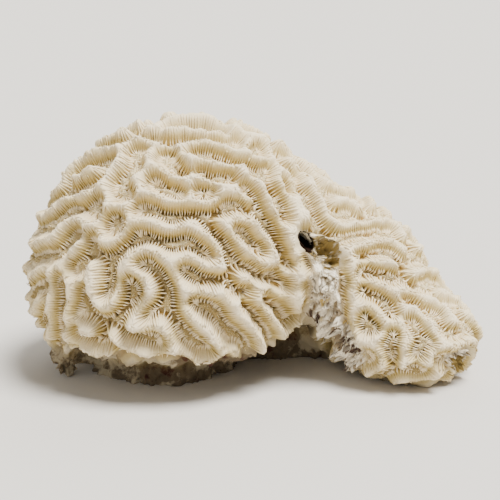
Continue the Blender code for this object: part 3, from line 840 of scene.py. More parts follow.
@dataclass(frozen=True)
class Chalk(Finish):
    """Dead ground: broken chalky lumps, dusty matt, from tan over cream and white to grey by their `tone`.

    The attributes `crack`, `ochre`, `dark` and `hole` are 1 in brown cracks and in pits darkened as painted
    shade, on ochre stains and in the hollows, on dark grit and on painted shade low on the scar, and in the
    borehole, whose near-black is painted shade.
    """

    name: str = "broken chalk"
    roughness: float = 0.92
    specular: float = 0.1
    white: str = "#F5EAD3"
    cream: str = "#DDCB9F"
    tan: str = "#BB9F5C"
    grey: str = "#9A8A70"
    # Brown of the cracks, also laid in the pits as painted shade.
    crack: str = "#55422A"
    ochre: str = "#857040"
    # Dark grit, and painted shade low on the scar.
    dark: str = "#4E3D34"
    # Near-black brown: painted shade deep in the borehole.
    hole: str = "#1D0E05"

    def colour(self, tree: bpy.types.NodeTree) -> bpy.types.NodeSocket:
        """The lumps' colour, with cracks, stains and the borehole laid over it."""
        colour = colour_ramp(tree, attribute(tree, "tone"), [(0.0, self.tan), (0.14, self.cream),
                                                             (0.32, self.white), (0.62, self.white),
                                                             (0.80, self.grey)])
        for name in ("crack", "ochre", "dark", "hole"):
            colour = mixed(tree, attribute(tree, name), colour, linear(getattr(self, name)))
        return colour


def mesh_object(name: str, points: np.ndarray, faces: np.ndarray, shift: np.ndarray,
                values: dict[str, np.ndarray] | None = None) -> bpy.types.Object:
    """A mesh object from arrays in millimetres, at the origin, with its place in its mesh.

    Args:
        name: the piece's name.
        points: vertices, in the colony's coordinates.
        faces: vertex numbers, three or four to a face.
        shift: what moves the colony's coordinates to the frame's.
        values: float attributes of the vertices.

    Returns:
        The object, linked to the scene.
    """
    mesh = bpy.data.meshes.new(name)
    sides = faces.shape[1]
    mesh.vertices.add(len(points))
    mesh.vertices.foreach_set("co", ((points + shift) * MM).ravel())
    mesh.loops.add(faces.size)
    mesh.loops.foreach_set("vertex_index", faces.ravel())
    mesh.polygons.add(len(faces))
    mesh.polygons.foreach_set("loop_start", np.arange(0, faces.size, sides))
    for key, numbers in (values or {}).items():
        layer = mesh.attributes.new(key, "FLOAT", "POINT")
        layer.data.foreach_set("value", numbers.astype(np.float32))
    mesh.update(calc_edges=True)
    mesh.validate()
    obj = bpy.data.objects.new(name, mesh)
    bpy.context.scene.collection.objects.link(obj)
    return obj


def joined(name: str, shapes: np.ndarray, faces: np.ndarray, groups: Iterable[np.ndarray],
           values: dict[str, np.ndarray], shift: np.ndarray, material: bpy.types.Material
           ) -> list[bpy.types.Object]:
    """Many small shapes of one kind as a few joined meshes.

    Args:
        name: the pieces' name, which a number is added to.
        shapes: vertices in the colony's coordinates, as shapes by vertices by 3.
        faces: vertex numbers of one shape's faces.
        groups: the numbers of the shapes in each piece.
        values: float attributes, as shapes by vertices.
        shift: what moves the colony's coordinates to the frame's.
        material: the pieces' material.

    Returns:
        The pieces.
    """
    made = []
    for number, group in enumerate(groups, 1):
        every = faces[None] + np.arange(len(group))[:, None, None] * shapes.shape[1]
        every = every.reshape(-1, faces.shape[1])
        own = {key: numbers[group].ravel() for key, numbers in values.items()}
        piece = mesh_object(f"{name}_{number}", shapes[group].reshape(-1, 3), every, shift, own)
        piece.data.materials.append(material)
        made.append(piece)
        log.info("%s_%d: %d shapes", name, number, len(group))
    return made


@dataclass
class Colony:
    """The colony's skin with its fields, on a halved mesh, and where it goes in the frame.

    Depths are in millimetres.  A span runs along the way from crest to valley for slots and columella, in
    millimetres from the rock or from a hole's wall, in pixels from the scar's edge, and in the cosine of an
    angle for surfaces that face down or are turned away.
    """

    form: Form
    ridges: Ridges
    crest_softness: float = 0.9
    crest_drop: float = 0.05
    crest_wave: float = 0.4
    wave_spread: float = 1.3
    slot_depth: float = 1.3
    fine_slot_depth: float = 0.26
    fine_slots: Span = (0.08, 0.25)
    deep_slots: Span = (0.42, 0.68)
    floor_filled: float = 0.6
    filled_slots: Span = (0.85, 1.0)
    columella_height: float = 1.2
    columella_edge: Span = (0.84, 0.96)
    columella_unevenness: float = 0.3
    columella_lump: float = 0.5
    grain_height: float = 0.07
    grain_lump: float = 0.45
    grain_fades: Span = (-0.3, -0.1)
    most_lump: float = 2.0
    dead_depth: float = 2.6
    dead_roughness: float = 0.9
    dead_lumps: tuple[float, float, float] = (1.6, 0.9, 0.45)
    dead_shares: tuple[float, float, float] = (0.6, 0.55, 0.4)
    dead_level: float = 0.4
    most_dead_lump: float = 1.8
    cover_depth: float = 1.6
    dead_facing_down: Span = (0.6, 0.88)
    # Surfaces facing down this far take the rock's dark colours as painted shade.
    painted_shade_facing_down: Span = (0.6, 0.85)
    lobe_excused: float = 0.1
    dead_stone: Span = (-1.5, -0.2)
    rock_stone: Span = (-3.0, -0.5)
    scar_edge: Span = (-2, 2)
    hole_edge: Span = (-0.9, -0.3)
    sky: tuple[float, float, float] = (0.15, 0.15, 1.0)
    turning: Span = (-0.68, 0.12)
    skin: Skin = field(init=False)
    way: np.ndarray = field(init=False)
    share: np.ndarray = field(init=False)
    height: np.ndarray = field(init=False)
    dead: np.ndarray = field(init=False)
    rock: np.ndarray = field(init=False)
    wave: np.ndarray = field(init=False)
    shade: np.ndarray = field(init=False)
    drop: np.ndarray = field(init=False)
    covered: np.ndarray = field(init=False)
    shift: np.ndarray = field(init=False)

    def __post_init__(self) -> None:
        """Works out the fields on the coarse skin, carries them to the fine one and places the colony."""
        rng = np.random.default_rng(self.ridges.seed)
        coarse = Skin.from_mesh(self.form.rough_mesh(), self.form)
        visible = self.ridges.view.seen(coarse)
        pattern = self.ridges.pattern(coarse, visible, rng)
        dead = self.dead_share(coarse, visible)
        self.skin = coarse.halved()
        self.height = self.skin.smoothed(coarse.carried(pattern), self.skin.steps_for(self.crest_softness))
        self.dead = self.skin.smoothed(coarse.carried(dead), 2)
        # `rock`: the rock's own surface, and surfaces that face down, painted dark as shade.
        self.rock = np.maximum(self.on_stone(self.skin, self.rock_stone),
                               self.facing_down(self.skin, self.painted_shade_facing_down))
        self.way = self.ridges.across(self.height)
        self.wave = self.crest_wave * (1 + np.clip(self.skin.lumps(self.wave_spread, rng), -1, 1))
        self.share = self.ridges.share(self.skin.points)
        self.shade = self.turned_away(self.ridges.crown(self.way, self.share))
        self.drop = self.depth_below_form(rng)
        self.covered = np.zeros(len(self.drop))
        points = self.placed_below(self.drop)
        low, high = points.min(0), points.max(0)
        middle = (np.array(CAD_BOX[0]) + np.array(CAD_BOX[1])) / 2 / MM
        self.shift = np.array((middle[0] - (low[0] + high[0]) / 2, middle[1] - (low[1] + high[1]) / 2, 0.0))
        log.info("colony: %d vertices, shift %s", len(points), np.round(self.shift, 2))

    def facing_down(self, skin: Skin, edge: Span) -> np.ndarray:
        """1 where the surface faces down, 0 elsewhere.  The lobe lives on a little further round."""
        on_lobe = ramp(skin.points[:, 0], *self.ridges.lobe_starts)
        return ramp(-skin.normals[:, 2] - self.lobe_excused * on_lobe, *edge)

    def on_stone(self, skin: Skin, edge: Span) -> np.ndarray:
        """1 where the form's surface is the rock's own, 0 where the colony lies over the rock."""
        return ramp(self.form.distance(skin.points) - self.form.rock(skin.points), *edge)

    def dead_share(self, skin: Skin, visible: np.ndarray) -> np.ndarray:
        """1 on the underside, the rock, the scar and its holes, 0 on the living surface."""
        under = self.facing_down(skin, self.dead_facing_down)
        stone = self.on_stone(skin, self.dead_stone)
        scar = visible * ramp(-spot_gap(self.ridges.view.picture(skin.points)[0], SCAR), *self.scar_edge)
        near_hole = np.abs([hole.distance(skin.points) for hole in self.form.holes]).min(0)
        return skin.smoothed(np.maximum.reduce([under, stone, scar, ramp(-near_hole, *self.hole_edge)]), 2)

    def turned_away(self, depth: np.ndarray) -> np.ndarray:
        """0 where the surface at this depth faces the sky, 1 where it is turned from it."""
        facing = unit(self.skin.normals + self.skin.gradient(depth)) @ unit(np.array(self.sky))
        return self.skin.smoothed(ramp(-facing, *self.turning), 1)

    def slots(self, way: np.ndarray) -> np.ndarray:
        """How far the skin lies below the septa's edges: hardly on the crest, then fine and deep slots."""
        fine = self.fine_slot_depth * ramp(way, *self.fine_slots)
        deep = (self.slot_depth - self.fine_slot_depth) * ramp(way, *self.deep_slots)
        return self.crest_drop + fine + deep * (1 - self.floor_filled * ramp(way, *self.filled_slots))

    def depth_below_form(self, rng: np.random.Generator) -> np.ndarray:
        """Depth of the skin: crown, wave and slots less the columella where it lives, lumps where dead."""
        skin = self.skin
        columella = self.columella_height * ramp(self.way, *self.columella_edge)
        most = self.most_lump
        uneven = np.clip(skin.lumps(self.columella_lump, rng), -most, most)
        columella = columella * (1 + self.columella_unevenness * uneven)
        grain = self.grain_height * np.clip(skin.lumps(self.grain_lump, rng), -most, most)
        grain = grain * ramp(-self.way, *self.grain_fades)
        crown = self.ridges.crown(self.way, self.share)
        living = crown + self.wave + self.slots(self.way) - columella + grain
        broad, sharp, small = (skin.lumps(spread, rng) for spread in self.dead_lumps)
        shares = self.dead_shares
        rough = shares[0] * broad + shares[1] * np.abs(sharp) + shares[2] * small - self.dead_level
        most = self.most_dead_lump
        ground = self.dead_depth + self.dead_roughness * np.clip(rough, -most, most)
        return np.maximum(living * (1 - self.dead) + ground * self.dead, 0)

    def placed_below(self, depth: np.ndarray) -> np.ndarray:
        """The skin's vertices moved inwards by a depth."""
        return self.skin.points - self.skin.normals * depth[:, None]

    def skin_piece(self) -> bpy.types.Object:
        """The skin as a mesh, cut flat at z = 0.  It lies deeper where another piece covers it."""
        depth = self.drop + self.cover_depth * self.covered
        piece = mesh_object("coral_skin", self.placed_below(depth), self.skin.quads, self.shift,
                            {"way": self.way, "shade": self.shade, "dead": self.dead, "rock": self.rock})
        cut = bmesh.new()
        cut.from_mesh(piece.data)
        everything = cut.verts[:] + cut.edges[:] + cut.faces[:]
        sliced = bmesh.ops.bisect_plane(cut, geom=everything, plane_co=(0, 0, 0), plane_no=(0, 0, 1),
                                        clear_inner=True)
        rim = [e for e in sliced["geom_cut"] if isinstance(e, bmesh.types.BMEdge)]
        bmesh.ops.holes_fill(cut, edges=rim, sides=0)
        bmesh.ops.triangulate(cut, faces=[f for f in cut.faces if len(f.verts) > 4])
        cut.to_mesh(piece.data)
        cut.free()
        piece.data.shade_smooth()
        piece.data.materials.append(Aragonite().material())
        return piece


@dataclass
class Columella:
    """The spongy tangle along the valleys' middles: short three-sided rods that lie every way.

    Lengths are in millimetres.  A rod tapers from `butt` to `tip`, shares of its width, and it is darker where
    the surface is turned from the sky, as painted shade.
    """

    colony: Colony
    spacing: float = 0.40
    shortest: float = 0.35
    longest: float = 0.8
    thinnest: float = 0.06
    thickest: float = 0.11
    butt: float = 1.2
    tip: float = 0.6
    upright: float = 0.9
    lift: float = 0.12
    painted_shade_tint: float = 0.45
    floor_starts: float = 0.80
    most_dead: float = 0.35
    lowest: float = 0.5
    seed: int = 9
    per_piece: int = 12000

    def places(self, rng: np.random.Generator) -> np.ndarray:
        """Vertices on the valley floors, thinned so that no two are in one cell."""
        colony = self.colony
        points = colony.placed_below(colony.drop)
        floor = (colony.way > self.floor_starts) & (colony.dead < self.most_dead)
        floor &= points[:, 2] > self.lowest
        chosen = rng.permutation(np.flatnonzero(floor))
        return chosen[np.sort(first_in_cells(points[chosen], self.spacing))]

    def build(self) -> list[bpy.types.Object]:
        """The rods as joined meshes: triangular prisms along random directions that lean outwards."""
        colony = self.colony
        rng = np.random.default_rng(self.seed)
        chosen = self.places(rng)
        count = len(chosen)
        outward = colony.skin.normals[chosen]
        along = unit(rng.standard_normal((count, 3)) + self.upright * outward)
        across = unit(np.cross(along, rng.standard_normal((count, 3))))
        third = np.cross(along, across)
        length = rng.uniform(self.shortest, self.longest, (count, 1))
        width = rng.uniform(self.thinnest, self.thickest, (count, 1))
        middle = colony.placed_below(colony.drop)[chosen] + outward * self.lift
        corners = []
        for end, share in ((-0.5, self.butt), (0.5, self.tip)):
            for angle in np.radians((0, 120, 240)):
                ring = (across * np.cos(angle) + third * np.sin(angle)) * width * share
                corners.append(middle + along * length * end + ring)
        shapes = np.stack(corners, 1)
        faces = np.array([(0, 2, 1), (3, 4, 5)] + [(k, (k + 1) % 3, 3 + (k + 1) % 3) for k in range(3)]
                         + [(k, 3 + (k + 1) % 3, 3 + k) for k in range(3)])
        # Tint: random rod by rod, lowered as painted shade where the surface is turned from the sky.
        tint = rng.random(count) * (1 - self.painted_shade_tint * colony.shade[chosen])
        groups = np.split(np.arange(count), range(self.per_piece, count, self.per_piece))
        return joined("columella", shapes, faces, groups, {"tint": np.repeat(tint[:, None], 6, axis=1)},
                      colony.shift, Sponge().material())


@dataclass
class Crust:
    """The broken surface of the scar and the holes: a finer patch of angular lumps over the skin.

    Sizes, heights and the spreads of its lumps are in millimetres.  `big`, `small`, `crack` and `fuzz` are the
    shares of its blocks, its cracks and a fine noise in its height, which `bounds` limits before the knolls are
    added.  The fields from `big_tone` on are shares in its colour's attributes.
    """

    colony: Colony
    seen_thickness: float = 14.0
    least_seen: float = 0.4
    least_dead: float = 0.45
    steepest_under: float = -0.75
    cover_edge: Span = (0.2, 0.9)
    rise_edge: Span = (0.0, 0.7)
    big_block: float = 1.9
    small_block: float = 0.65
    seeds_kept: float = 0.55
    bend: float = 0.55
    bend_spread: float = 0.8
    broken_up: float = 0.3
    ragged_spread: float = 0.3
    big: float = 0.8
    small: float = 0.3
    crack: float = 1.8
    fuzz: float = 0.05
    bounds: Span = (-1.2, 1.3)
    big_crack: float = 0.34
    small_crack: float = 0.13
    big_crack_width: float = 0.4
    small_crack_width: float = 0.22
    open_spread: float = 1.5
    open_edge: Span = (-1.0, 0.8)
    hollow_smoother: float = 0.4
    wobble: float = 1.5
    wobble_spread: float = 1.0
    borehole_edge: Span = (-0.7, -0.25)
    hollow_edge: Span = (-0.9, -0.3)
    lift: float = 0.25
    sunk_edge: float = 0.12
    big_tone: float = 0.5
    small_tone: float = 0.3
    least_tone: float = 0.1
    mottle: float = 0.1
    mottle_spread: float = 1.2
    speckle: float = 0.06
    knoll_tone: float = 0.5
    knoll_evenness: float = 0.8
    on_knoll: Span = (0.3, 1.2)
    in_pit: Span = (0.3, 1.5)
    crack_stain: float = 2.2
    # How much of the cracks' brown is laid in the pits: painted shade.
    pit_painted_shade: float = 0.35
    strongest_crack: float = 0.8
    hollow_ochre: float = 0.75
    hollow_speckle: float = 0.2
    stain_raggedness: float = 1.6
    stain_edge: Span = (-1.2, 1.2)
    grit_raggedness: float = 0.25
    grit_edge: Span = (0.15, 0.8)
    seed: int = 21

    def patch(self) -> tuple[Skin, np.ndarray, np.ndarray]:
        """The skin's dead quads in front, split twice, their places on the form, and how far in they lie."""
        colony = self.colony
        skin = colony.skin
        seen = colony.ridges.view.seen(skin, thickness=self.seen_thickness).astype(float)
        inside = (colony.dead > self.least_dead) & (colony.rock < 0.5)
        inside &= (skin.smoothed(seen, 3) > self.least_seen) & (skin.normals[:, 2] > self.steepest_under)
        chosen = inside[skin.quads].all(1)
        used, corners = np.unique(skin.quads[chosen], return_inverse=True)
        outside = np.zeros(len(skin.points), bool)
        outside[skin.quads[~chosen].ravel()] = True
        surface = Skin(colony.placed_below(colony.drop)[used], corners.reshape(-1, 4), skin.form)
        inner = (~outside[used]).astype(float)
        for _ in range(3):
            inner = surface.smoothed(inner, 1) * (inner > 0)
        colony.covered[used] = ramp(inner, *self.cover_edge)
        outward, home = skin.normals[used], skin.points[used]
        for _ in range(2):
            inner, outward, home = surface.carried(inner), surface.carried(outward), surface.carried(home)
            surface = surface.split()
        surface.normals = unit(outward)
        surface.edge_length = surface.mean_edge()
        return surface, home, ramp(inner, *self.rise_edge)

    def blocks(self, points: np.ndarray, size: float, rng: np.random.Generator
               ) -> tuple[np.ndarray, np.ndarray, np.ndarray]:
        """Cells around random points.

        Args:
            points: places to work the cells out at.
            size: rough distance between the cells' middles.
            rng: draws the middles, and each cell's height, tilt and shade.

        Returns:
            For each point, its cell's tilted height, its distance to a crack, and its cell's shade.
        """
        mixed_up = points[rng.permutation(len(points))]
        seeds = mixed_up[first_in_cells(mixed_up, size)]
        seeds = seeds[rng.random(len(seeds)) < self.seeds_kept]
        height, shade = rng.uniform(-1, 1, len(seeds)), rng.random(len(seeds))
        tilt = rng.standard_normal((len(seeds), 3))
        found, crack, tone = [], [], []
        for start in range(0, len(points), BATCH):
            part = points[start:start + BATCH]
            gaps = np.linalg.norm(part[:, None] - seeds[None], axis=2)
            two = np.argpartition(gaps, 1, axis=1)[:, :2]
            reach = np.take_along_axis(gaps, two, 1)
            nearest = two[np.arange(len(part)), reach.argmin(1)]
            found.append(height[nearest] + ((part - seeds[nearest]) * tilt[nearest]).sum(1) / size)
            crack.append(np.abs(reach[:, 0] - reach[:, 1]))
            tone.append(shade[nearest])
        return np.concatenate(found), np.concatenate(crack), np.concatenate(tone)

    def stain(self, surface: Skin, spots: Sequence[tuple[int, int, int]], ragged: np.ndarray) -> np.ndarray:
        """1 at the listed spots, ragged at their edges, 0 elsewhere: stains, grit and painted shade."""
        gap = spot_gap(self.colony.ridges.view.picture(surface.points)[0], spots)
        return ramp(-gap + self.stain_raggedness * ragged, *self.stain_edge)

    def knolls(self, surface: Skin, rng: np.random.Generator) -> np.ndarray:
        """Height of the picture's knolls and pits: each h(1 - r^2)^2, r the distance over its radius."""
        pixels = self.colony.ridges.view.picture(surface.points)[0]
        pixels = pixels + self.wobble * np.stack([surface.lumps(self.wobble_spread, rng) for _ in range(2)], 1)
        height = np.zeros(len(pixels))
        for x, y, radius, rise in KNOLLS:
            share = np.clip(1 - ((pixels - (x, y)) ** 2).sum(1) / radius ** 2, 0, 1)
            height += rise * share ** 2
        return height

    def build(self) -> bpy.types.Object:
        """The patch pushed out in knolls and in big and small blocks, with cracks between them."""
        rng = np.random.default_rng(self.seed)
        surface, home, inner = self.patch()
        lumps = [surface.lumps(self.bend_spread, rng) for _ in range(3)]
        bent = surface.points + self.bend * np.stack(lumps, 1)
        big, big_gap, big_tone = self.blocks(bent, self.big_block, rng)
        bent = bent + self.broken_up * big[:, None]
        small, small_gap, small_tone = self.blocks(bent, self.small_block, rng)
        ragged = surface.lumps(self.ragged_spread, rng)
        form = self.colony.form
        in_borehole = ramp(-form.borehole.distance(home), *self.borehole_edge)
        hollows = np.minimum(form.hollow.distance(home), form.pocket.distance(home))
        in_hollow = ramp(-hollows, *self.hollow_edge)
        open_here = ramp(surface.lumps(self.open_spread, rng), *self.open_edge)
        cracks = (self.big_crack * open_here * (1 - ramp(big_gap, 0.0, self.big_crack_width))
                  + self.small_crack * (1 - ramp(small_gap, 0.0, self.small_crack_width)))
        knolls = self.knolls(surface, rng)
        height = self.big * big + self.small * small - self.crack * cracks + self.fuzz * ragged
        height = self.lift + np.clip(height, *self.bounds) * (1 - self.hollow_smoother * in_hollow) + knolls
        height = height * inner * (1 - in_borehole) - self.sunk_edge * (1 - inner)
        points = surface.points + surface.normals * height[:, None]
        mottle = self.least_tone + self.mottle * surface.lumps(self.mottle_spread, rng) + self.speckle * ragged
        tone = np.clip(self.big_tone * big_tone + self.small_tone * small_tone + mottle, 0, 1)
        evened = (self.knoll_tone - tone) * self.knoll_evenness * ramp(knolls, *self.on_knoll)
        # Brown in the cracks, and in the pits as painted shade.
        brown = self.crack_stain * cracks + self.pit_painted_shade * ramp(-knolls, *self.in_pit)
        # Ochre in the hollows.
        golden = in_hollow * (self.hollow_ochre + self.hollow_speckle * ragged)
        grit = ramp(small_tone + self.grit_raggedness * ragged, *self.grit_edge)
        values = {
            "tone": tone + evened,
            "crack": np.clip(brown, 0, 1) * self.strongest_crack,
            "ochre": np.maximum(self.stain(surface, OCHRE_STAINS, ragged), golden).clip(0, 1),
            # Dark grit, and painted shade on the scar's lower part.
            "dark": self.stain(surface, DARK_GRIT_AND_SHADE, ragged) * grit,
            # Near-black painted shade in the borehole.
            "hole": in_borehole,
        }
        piece = mesh_object("scar_crust", points, surface.quads, self.colony.shift, values)
        piece.data.materials.append(Chalk().material())
        log.info("scar_crust: %d quads, %.2f mm apart", len(surface.quads), surface.edge_length)
        return piece


class Lookup:
    """The nearest vertex of a skin to any point close to it, from a grid of small cells."""

    def __init__(self, points: np.ndarray, cell: float = 0.5) -> None:
        """Offers each vertex to the cells at and around it; each cell keeps the nearest to its middle.

        The key, whose lowest value stays, is the gap in thousandths x the number of vertices + the vertex.
        """
        self.cell = cell
        self.low = points.min(0) - 3 * cell
        self.size = np.ceil((points.max(0) + 3 * cell - self.low) / cell).astype(int) + 1
        unset = np.iinfo(np.int64).max
        best = np.full(self.size.prod(), unset)
        home = np.floor((points - self.low) / cell).astype(int)
        numbers = np.arange(len(points))
        for offset in np.ndindex(3, 3, 3):
            cells = home + np.array(offset) - 1
            gap = np.linalg.norm(self.low + (cells + 0.5) * cell - points, axis=1)
            key = np.round(gap * 1000).astype(np.int64) * len(points) + numbers
            np.minimum.at(best, self.flat(cells), key)
        self.nearest = np.where(best == unset, 0, best % len(points))

    def flat(self, cells: np.ndarray) -> np.ndarray:
        """Numbers of cells in the flat grid."""
        return (cells[:, 0] * self.size[1] + cells[:, 1]) * self.size[2] + cells[:, 2]

    def __call__(self, points: np.ndarray) -> np.ndarray:
        """The nearest vertices' numbers."""
        cells = np.clip(np.floor((points - self.low) / self.cell).astype(int), 0, self.size - 1)
        return self.nearest[self.flat(cells)]


@dataclass
class Septa:
    """The thin plates that cross the ridges, each a strip traced from its crest down to the valley floor.

    Lengths are in millimetres.  A span runs along the way from crest to valley, but `faded` in the dead share.
    `flattest` and `dip` are a slope and a drop of the pattern's field.
    """

    colony: Colony
    pitch: float = 0.7
    step: float = 0.35
    most_steps: int = 11
    stations: int = 8
    crest_width: float = 0.46
    tooth_width: float = 0.21
    foot_width: float = 0.30
    bend: float = 0.11
    embed: float = 0.35
    start_level: float = 0.3
    unevenness: float = 0.12
    flattest: float = 0.05
    dip: float = 0.004
    shortest: float = 1.2
    lowest: float = 0.5
    tooth: float = 0.45
    tooth_range: Span = (0.5, 1.1)
    toothed: Span = (0.6, 0.8)
    curled: Span = (0.5, 0.8)
    slimmed: Span = (0.25, 0.60)
    faded: Span = (0.1, 0.6)
    faded_depth: float = 0.9
    phase: Span = (0, 6.28)
    waves: Span = (3, 7)
    edge_noise: float = 0.04
    edge_drop: float = 0.08
    least_height: float = 0.2
    buried_end: float = 0.4
    width_noise: float = 0.1
    pieces: int = 4
    seed: int = 5

    def contour(self) -> list[np.ndarray]:
        """Closed lines where the field crosses the start level, on the quads' triangles."""
        skin, level = self.colony.skin, self.start_level
        quads = skin.quads
        triangles = np.concatenate([quads[:, [0, 1, 2]], quads[:, [0, 2, 3]]])
        above = self.colony.height[triangles] > level
        mixed_faces = np.flatnonzero(above.any(1) & ~above.all(1))
        ends = []
        for k in range(3):
            a, b = triangles[mixed_faces, k], triangles[mixed_faces, (k + 1) % 3]
            crossing = above[mixed_faces, k] != above[mixed_faces, (k + 1) % 3]
            key = np.minimum(a, b) * len(skin.points) + np.maximum(a, b)
            ends.append(np.where(crossing, key, -1))
        ends = np.sort(np.stack(ends, 1), axis=1)[:, 1:]
        keys, places = np.unique(ends, return_inverse=True)
        places = places.reshape(-1, 2)
        a, b = keys // len(skin.points), keys % len(skin.points)
        share = (level - self.colony.height[a]) / (self.colony.height[b] - self.colony.height[a])
        points = skin.points[a] + share[:, None] * (skin.points[b] - skin.points[a])
        neighbours: list[list[int]] = [[] for _ in keys]
        for first, second in places.tolist():
            neighbours[first].append(second)
            neighbours[second].append(first)
        lines, used = [], np.zeros(len(keys), bool)
        for start in range(len(keys)):
            if used[start]:
                continue
            line, here = [], start
            while not used[here]:
                used[here] = True
                line.append(here)
                here = next((n for n in neighbours[here] if not used[n]), here)
            lines.append(points[line + [start]])
        return lines

    def seeds(self, rng: np.random.Generator) -> np.ndarray:
        """Places on the contour a pitch apart, a little unevenly."""
        found = []
        for line in self.contour():
            along = np.concatenate([[0], np.cumsum(np.linalg.norm(np.diff(line, axis=0), axis=1))])
            count = round(along[-1] / self.pitch)
            if count < 6:
                continue
            uneven = rng.uniform(-self.unevenness, self.unevenness, count)
            where = (np.arange(count) + uneven) / count * along[-1]
            found.append(np.stack([np.interp(where, along, column) for column in line.T], 1))
        return np.concatenate(found)

    def trace(self, seeds: np.ndarray, lookup: Lookup, slope: np.ndarray, sign: float) -> np.ndarray:
        """Steps from the seeds up (+1) or down (-1) the field's slope, until it turns or flattens.

        Args:
            seeds: starting places.
            lookup: the nearest vertex to any place.
            slope: the field's gradient at each vertex.
            sign: which way to go.

        Returns:
            Places, as seeds by steps by 3; a strip that has stopped repeats its last place.
        """
        skin, height = self.colony.skin, self.colony.height
        here = seeds.copy()
        heading = sign * unit(slope[lookup(here)])
        going = np.ones(len(seeds), bool)
        path = [here.copy()]
        for _ in range(self.most_steps):
            near = lookup(here)
            turn = sign * slope[near]
            steady = np.linalg.norm(turn, axis=1) > self.flattest
            ahead = np.where(steady[:, None], unit(0.5 * unit(turn) + 0.5 * heading), heading)
            there = here + self.step * ahead
            foot = lookup(there)
            lift = ((there - skin.points[foot]) * skin.normals[foot]).sum(1, keepdims=True)
            there = there - skin.normals[foot] * lift
            better = sign * (height[foot] - height[near]) > -self.dip
            onward = (sign * slope[foot] * ahead).sum(1) > 0.0
            going &= better & onward & (self.colony.dead[foot] < 0.6)
            here = np.where(going[:, None], there, here)
            heading = ahead
            path.append(here.copy())
        return np.stack(path, 1)

    def strips(self) -> tuple[np.ndarray, np.ndarray]:
        """Each septum's stations from crest to floor, evenly spaced, and the nearest vertices to them."""
        colony = self.colony
        rng = np.random.default_rng(self.seed)
        lookup = Lookup(colony.skin.points)
        slope = colony.skin.smoothed(colony.skin.gradient(colony.height), 2)
        seeds = self.seeds(rng)
        near = lookup(seeds)
        seeds = seeds[(colony.dead[near] < 0.5) & (seeds[:, 2] > self.lowest)]
        up = self.trace(seeds, lookup, slope, 1.0)[:, ::-1]
        down = self.trace(seeds, lookup, slope, -1.0)[:, 1:]
        path = np.concatenate([up, down], 1)
        lengths = np.linalg.norm(np.diff(path, axis=1), axis=2)
        along = np.concatenate([np.zeros((len(path), 1)), np.cumsum(lengths, 1)], 1)
        total = along[:, -1]
        keep = total > self.shortest
        path, along, total = path[keep], along[keep], total[keep]
        where = np.linspace(0, 1, self.stations)[None] * total[:, None]
        after = np.clip((along[:, None, :] <= where[:, :, None]).sum(2), 1, along.shape[1] - 1)
        rows = np.arange(len(path))[:, None]
        start, end = along[rows, after - 1], along[rows, after]
        share = np.where(end > start, (where - start) / np.maximum(end - start, TINY), 0.0)
        stations = path[rows, after - 1] + share[..., None] * (path[rows, after] - path[rows, after - 1])
        return stations, lookup(stations.reshape(-1, 3)).reshape(stations.shape[:2])

    def build(self) -> list[bpy.types.Object]:
        """The septa as a few joined meshes.

        A septum's section is a trapezium: its foot is sunk in the skin, and its edge follows the crown.
        """
        colony = self.colony
        rng = np.random.default_rng(self.seed + 1)
        places, near = self.strips()
        count, stations = near.shape
        normals = colony.skin.normals[near]
        along = unit(np.gradient(places, axis=1))
        side = unit(np.cross(along, normals))
        way = colony.way[near]
        for _ in range(2):
            way[:, 1:-1] = (way[:, :-2] + 2 * way[:, 1:-1] + way[:, 2:]) / 4
        curl = np.sin(rng.uniform(*self.phase, (count, 1)) + rng.uniform(*self.waves, (count, 1)) * way)
        places = places + side * (self.bend * ramp(way, *self.curled) * curl)[..., None]
        crown = colony.ridges.crown(way, colony.share[near]) + colony.wave[near]
        teeth = self.tooth * ramp(way, *self.toothed) * rng.uniform(*self.tooth_range, (count, 1))
        edge = crown - teeth + rng.normal(0, self.edge_noise, way.shape)
        edge = edge + self.edge_drop * rng.random((count, 1))
        foot = crown + colony.slots(way) + self.embed
        dead = ramp(colony.dead[near], *self.faded)
        edge = edge + dead * np.maximum(colony.dead_depth + self.faded_depth - edge, 0)
        foot = np.maximum(foot, edge + self.least_height)
        edge[:, -1] = foot[:, -1] - self.buried_end
        slim = ramp(way, *self.slimmed)[..., None]
        width = rng.normal(1, self.width_noise, (count, 1, 1))
        top = (self.crest_width + (self.tooth_width - self.crest_width) * slim) / 2 * width
        low = (self.crest_width + (self.foot_width - self.crest_width) * slim) / 2 * width
        bottom, upper = places - normals * foot[..., None], places - normals * edge[..., None]
        points = np.stack([bottom - side * low, upper - side * top, upper + side * top, bottom + side * low], 2)
        station, corner = np.meshgrid(np.arange(stations - 1), np.arange(4), indexing="ij")
        following = (corner + 1) % 4
        quads = np.stack([station * 4 + corner, station * 4 + following, (station + 1) * 4 + following,
                          (station + 1) * 4 + corner], -1).reshape(-1, 4)
        last = (stations - 1) * 4
        caps = np.array([[3, 2, 1, 0], [last, last + 1, last + 2, last + 3]])
        faces = np.concatenate([quads, caps])
        values = {"way": np.repeat(way, 4, axis=1), "rise": np.tile((0.0, 1.0, 1.0, 0.0), (count, stations)),
                  "shade": np.repeat(colony.shade[near], 4, axis=1)}
        groups = np.array_split(np.arange(count), self.pieces)
        return joined("septa", points.reshape(count, -1, 3), faces, groups, values, colony.shift,
                      SeptalPlate().material())


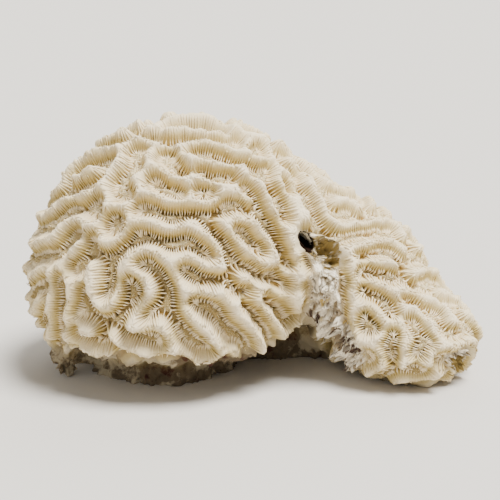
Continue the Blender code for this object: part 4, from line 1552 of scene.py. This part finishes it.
class Lighting(Enum):
    """The studio's broad lamps: the direction that each shines in, its power, and its breadth in degrees."""

    KEY = ((-0.36, 0.22, -1.0), 8.5, 26)
    FILL = ((0.5, 0.9, -0.5), 0.7, 60)
    BACK = ((-0.3, -0.8, -0.8), 1.5, 50)


@dataclass
class Studio:
    """A plain floor of pale, matt card and soft lamps.  The floor's size is in metres."""

    floor_size: float = 30.0
    floor_colour: str = "#D2CDC4"
    floor_roughness: float = 0.9
    floor_specular: float = 0.1
    world_colour: str = "#F4F3F1"
    world: float = 0.40

    def build(self) -> None:
        """Makes the floor, the lamps and the world's soft light."""
        bpy.ops.mesh.primitive_plane_add(size=self.floor_size)
        floor = bpy.context.object
        floor.name = "floor"
        material, _, shader = bare_material("pale card")
        shader.inputs["Base Color"].default_value = linear(self.floor_colour)
        plain_scalars(shader, self.floor_roughness, self.floor_specular)
        floor.data.materials.append(material)
        for lamp in Lighting:
            direction, power, breadth = lamp.value
            data = bpy.data.lights.new(lamp.name.lower(), "SUN")
            data.energy = power
            data.angle = np.radians(breadth)
            obj = bpy.data.objects.new(lamp.name.lower(), data)
            obj.matrix_world = Vector(direction).to_track_quat("-Z", "Y").to_matrix().to_4x4()
            bpy.context.scene.collection.objects.link(obj)
        world = bpy.data.worlds.new("soft studio")
        world.use_nodes = True
        background = world.node_tree.nodes["Background"]
        background.inputs["Color"].default_value = linear(self.world_colour)
        background.inputs["Strength"].default_value = self.world
        bpy.context.scene.world = world


def ride(pieces: Iterable[bpy.types.Object]) -> None:
    """Puts pieces on the colony's body and logs their face counts."""
    for piece in pieces:
        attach(piece, BODY)
        log.info("%s: %d faces", piece.name, len(piece.data.polygons))


def main() -> None:
    """Builds the colony, its septa and the studio."""
    logging.basicConfig(level=logging.INFO, format="%(message)s")
    view = Viewpoint()
    colony = Colony(Form(), Ridges(view))
    ride([Crust(colony).build()])
    skin = colony.skin_piece()
    ride([skin])
    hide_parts(NODE)
    ride(Septa(colony).build())
    ride(Columella(colony).build())
    view.camera(colony.shift)
    Studio().build()


if __name__ == "__main__":
    main()
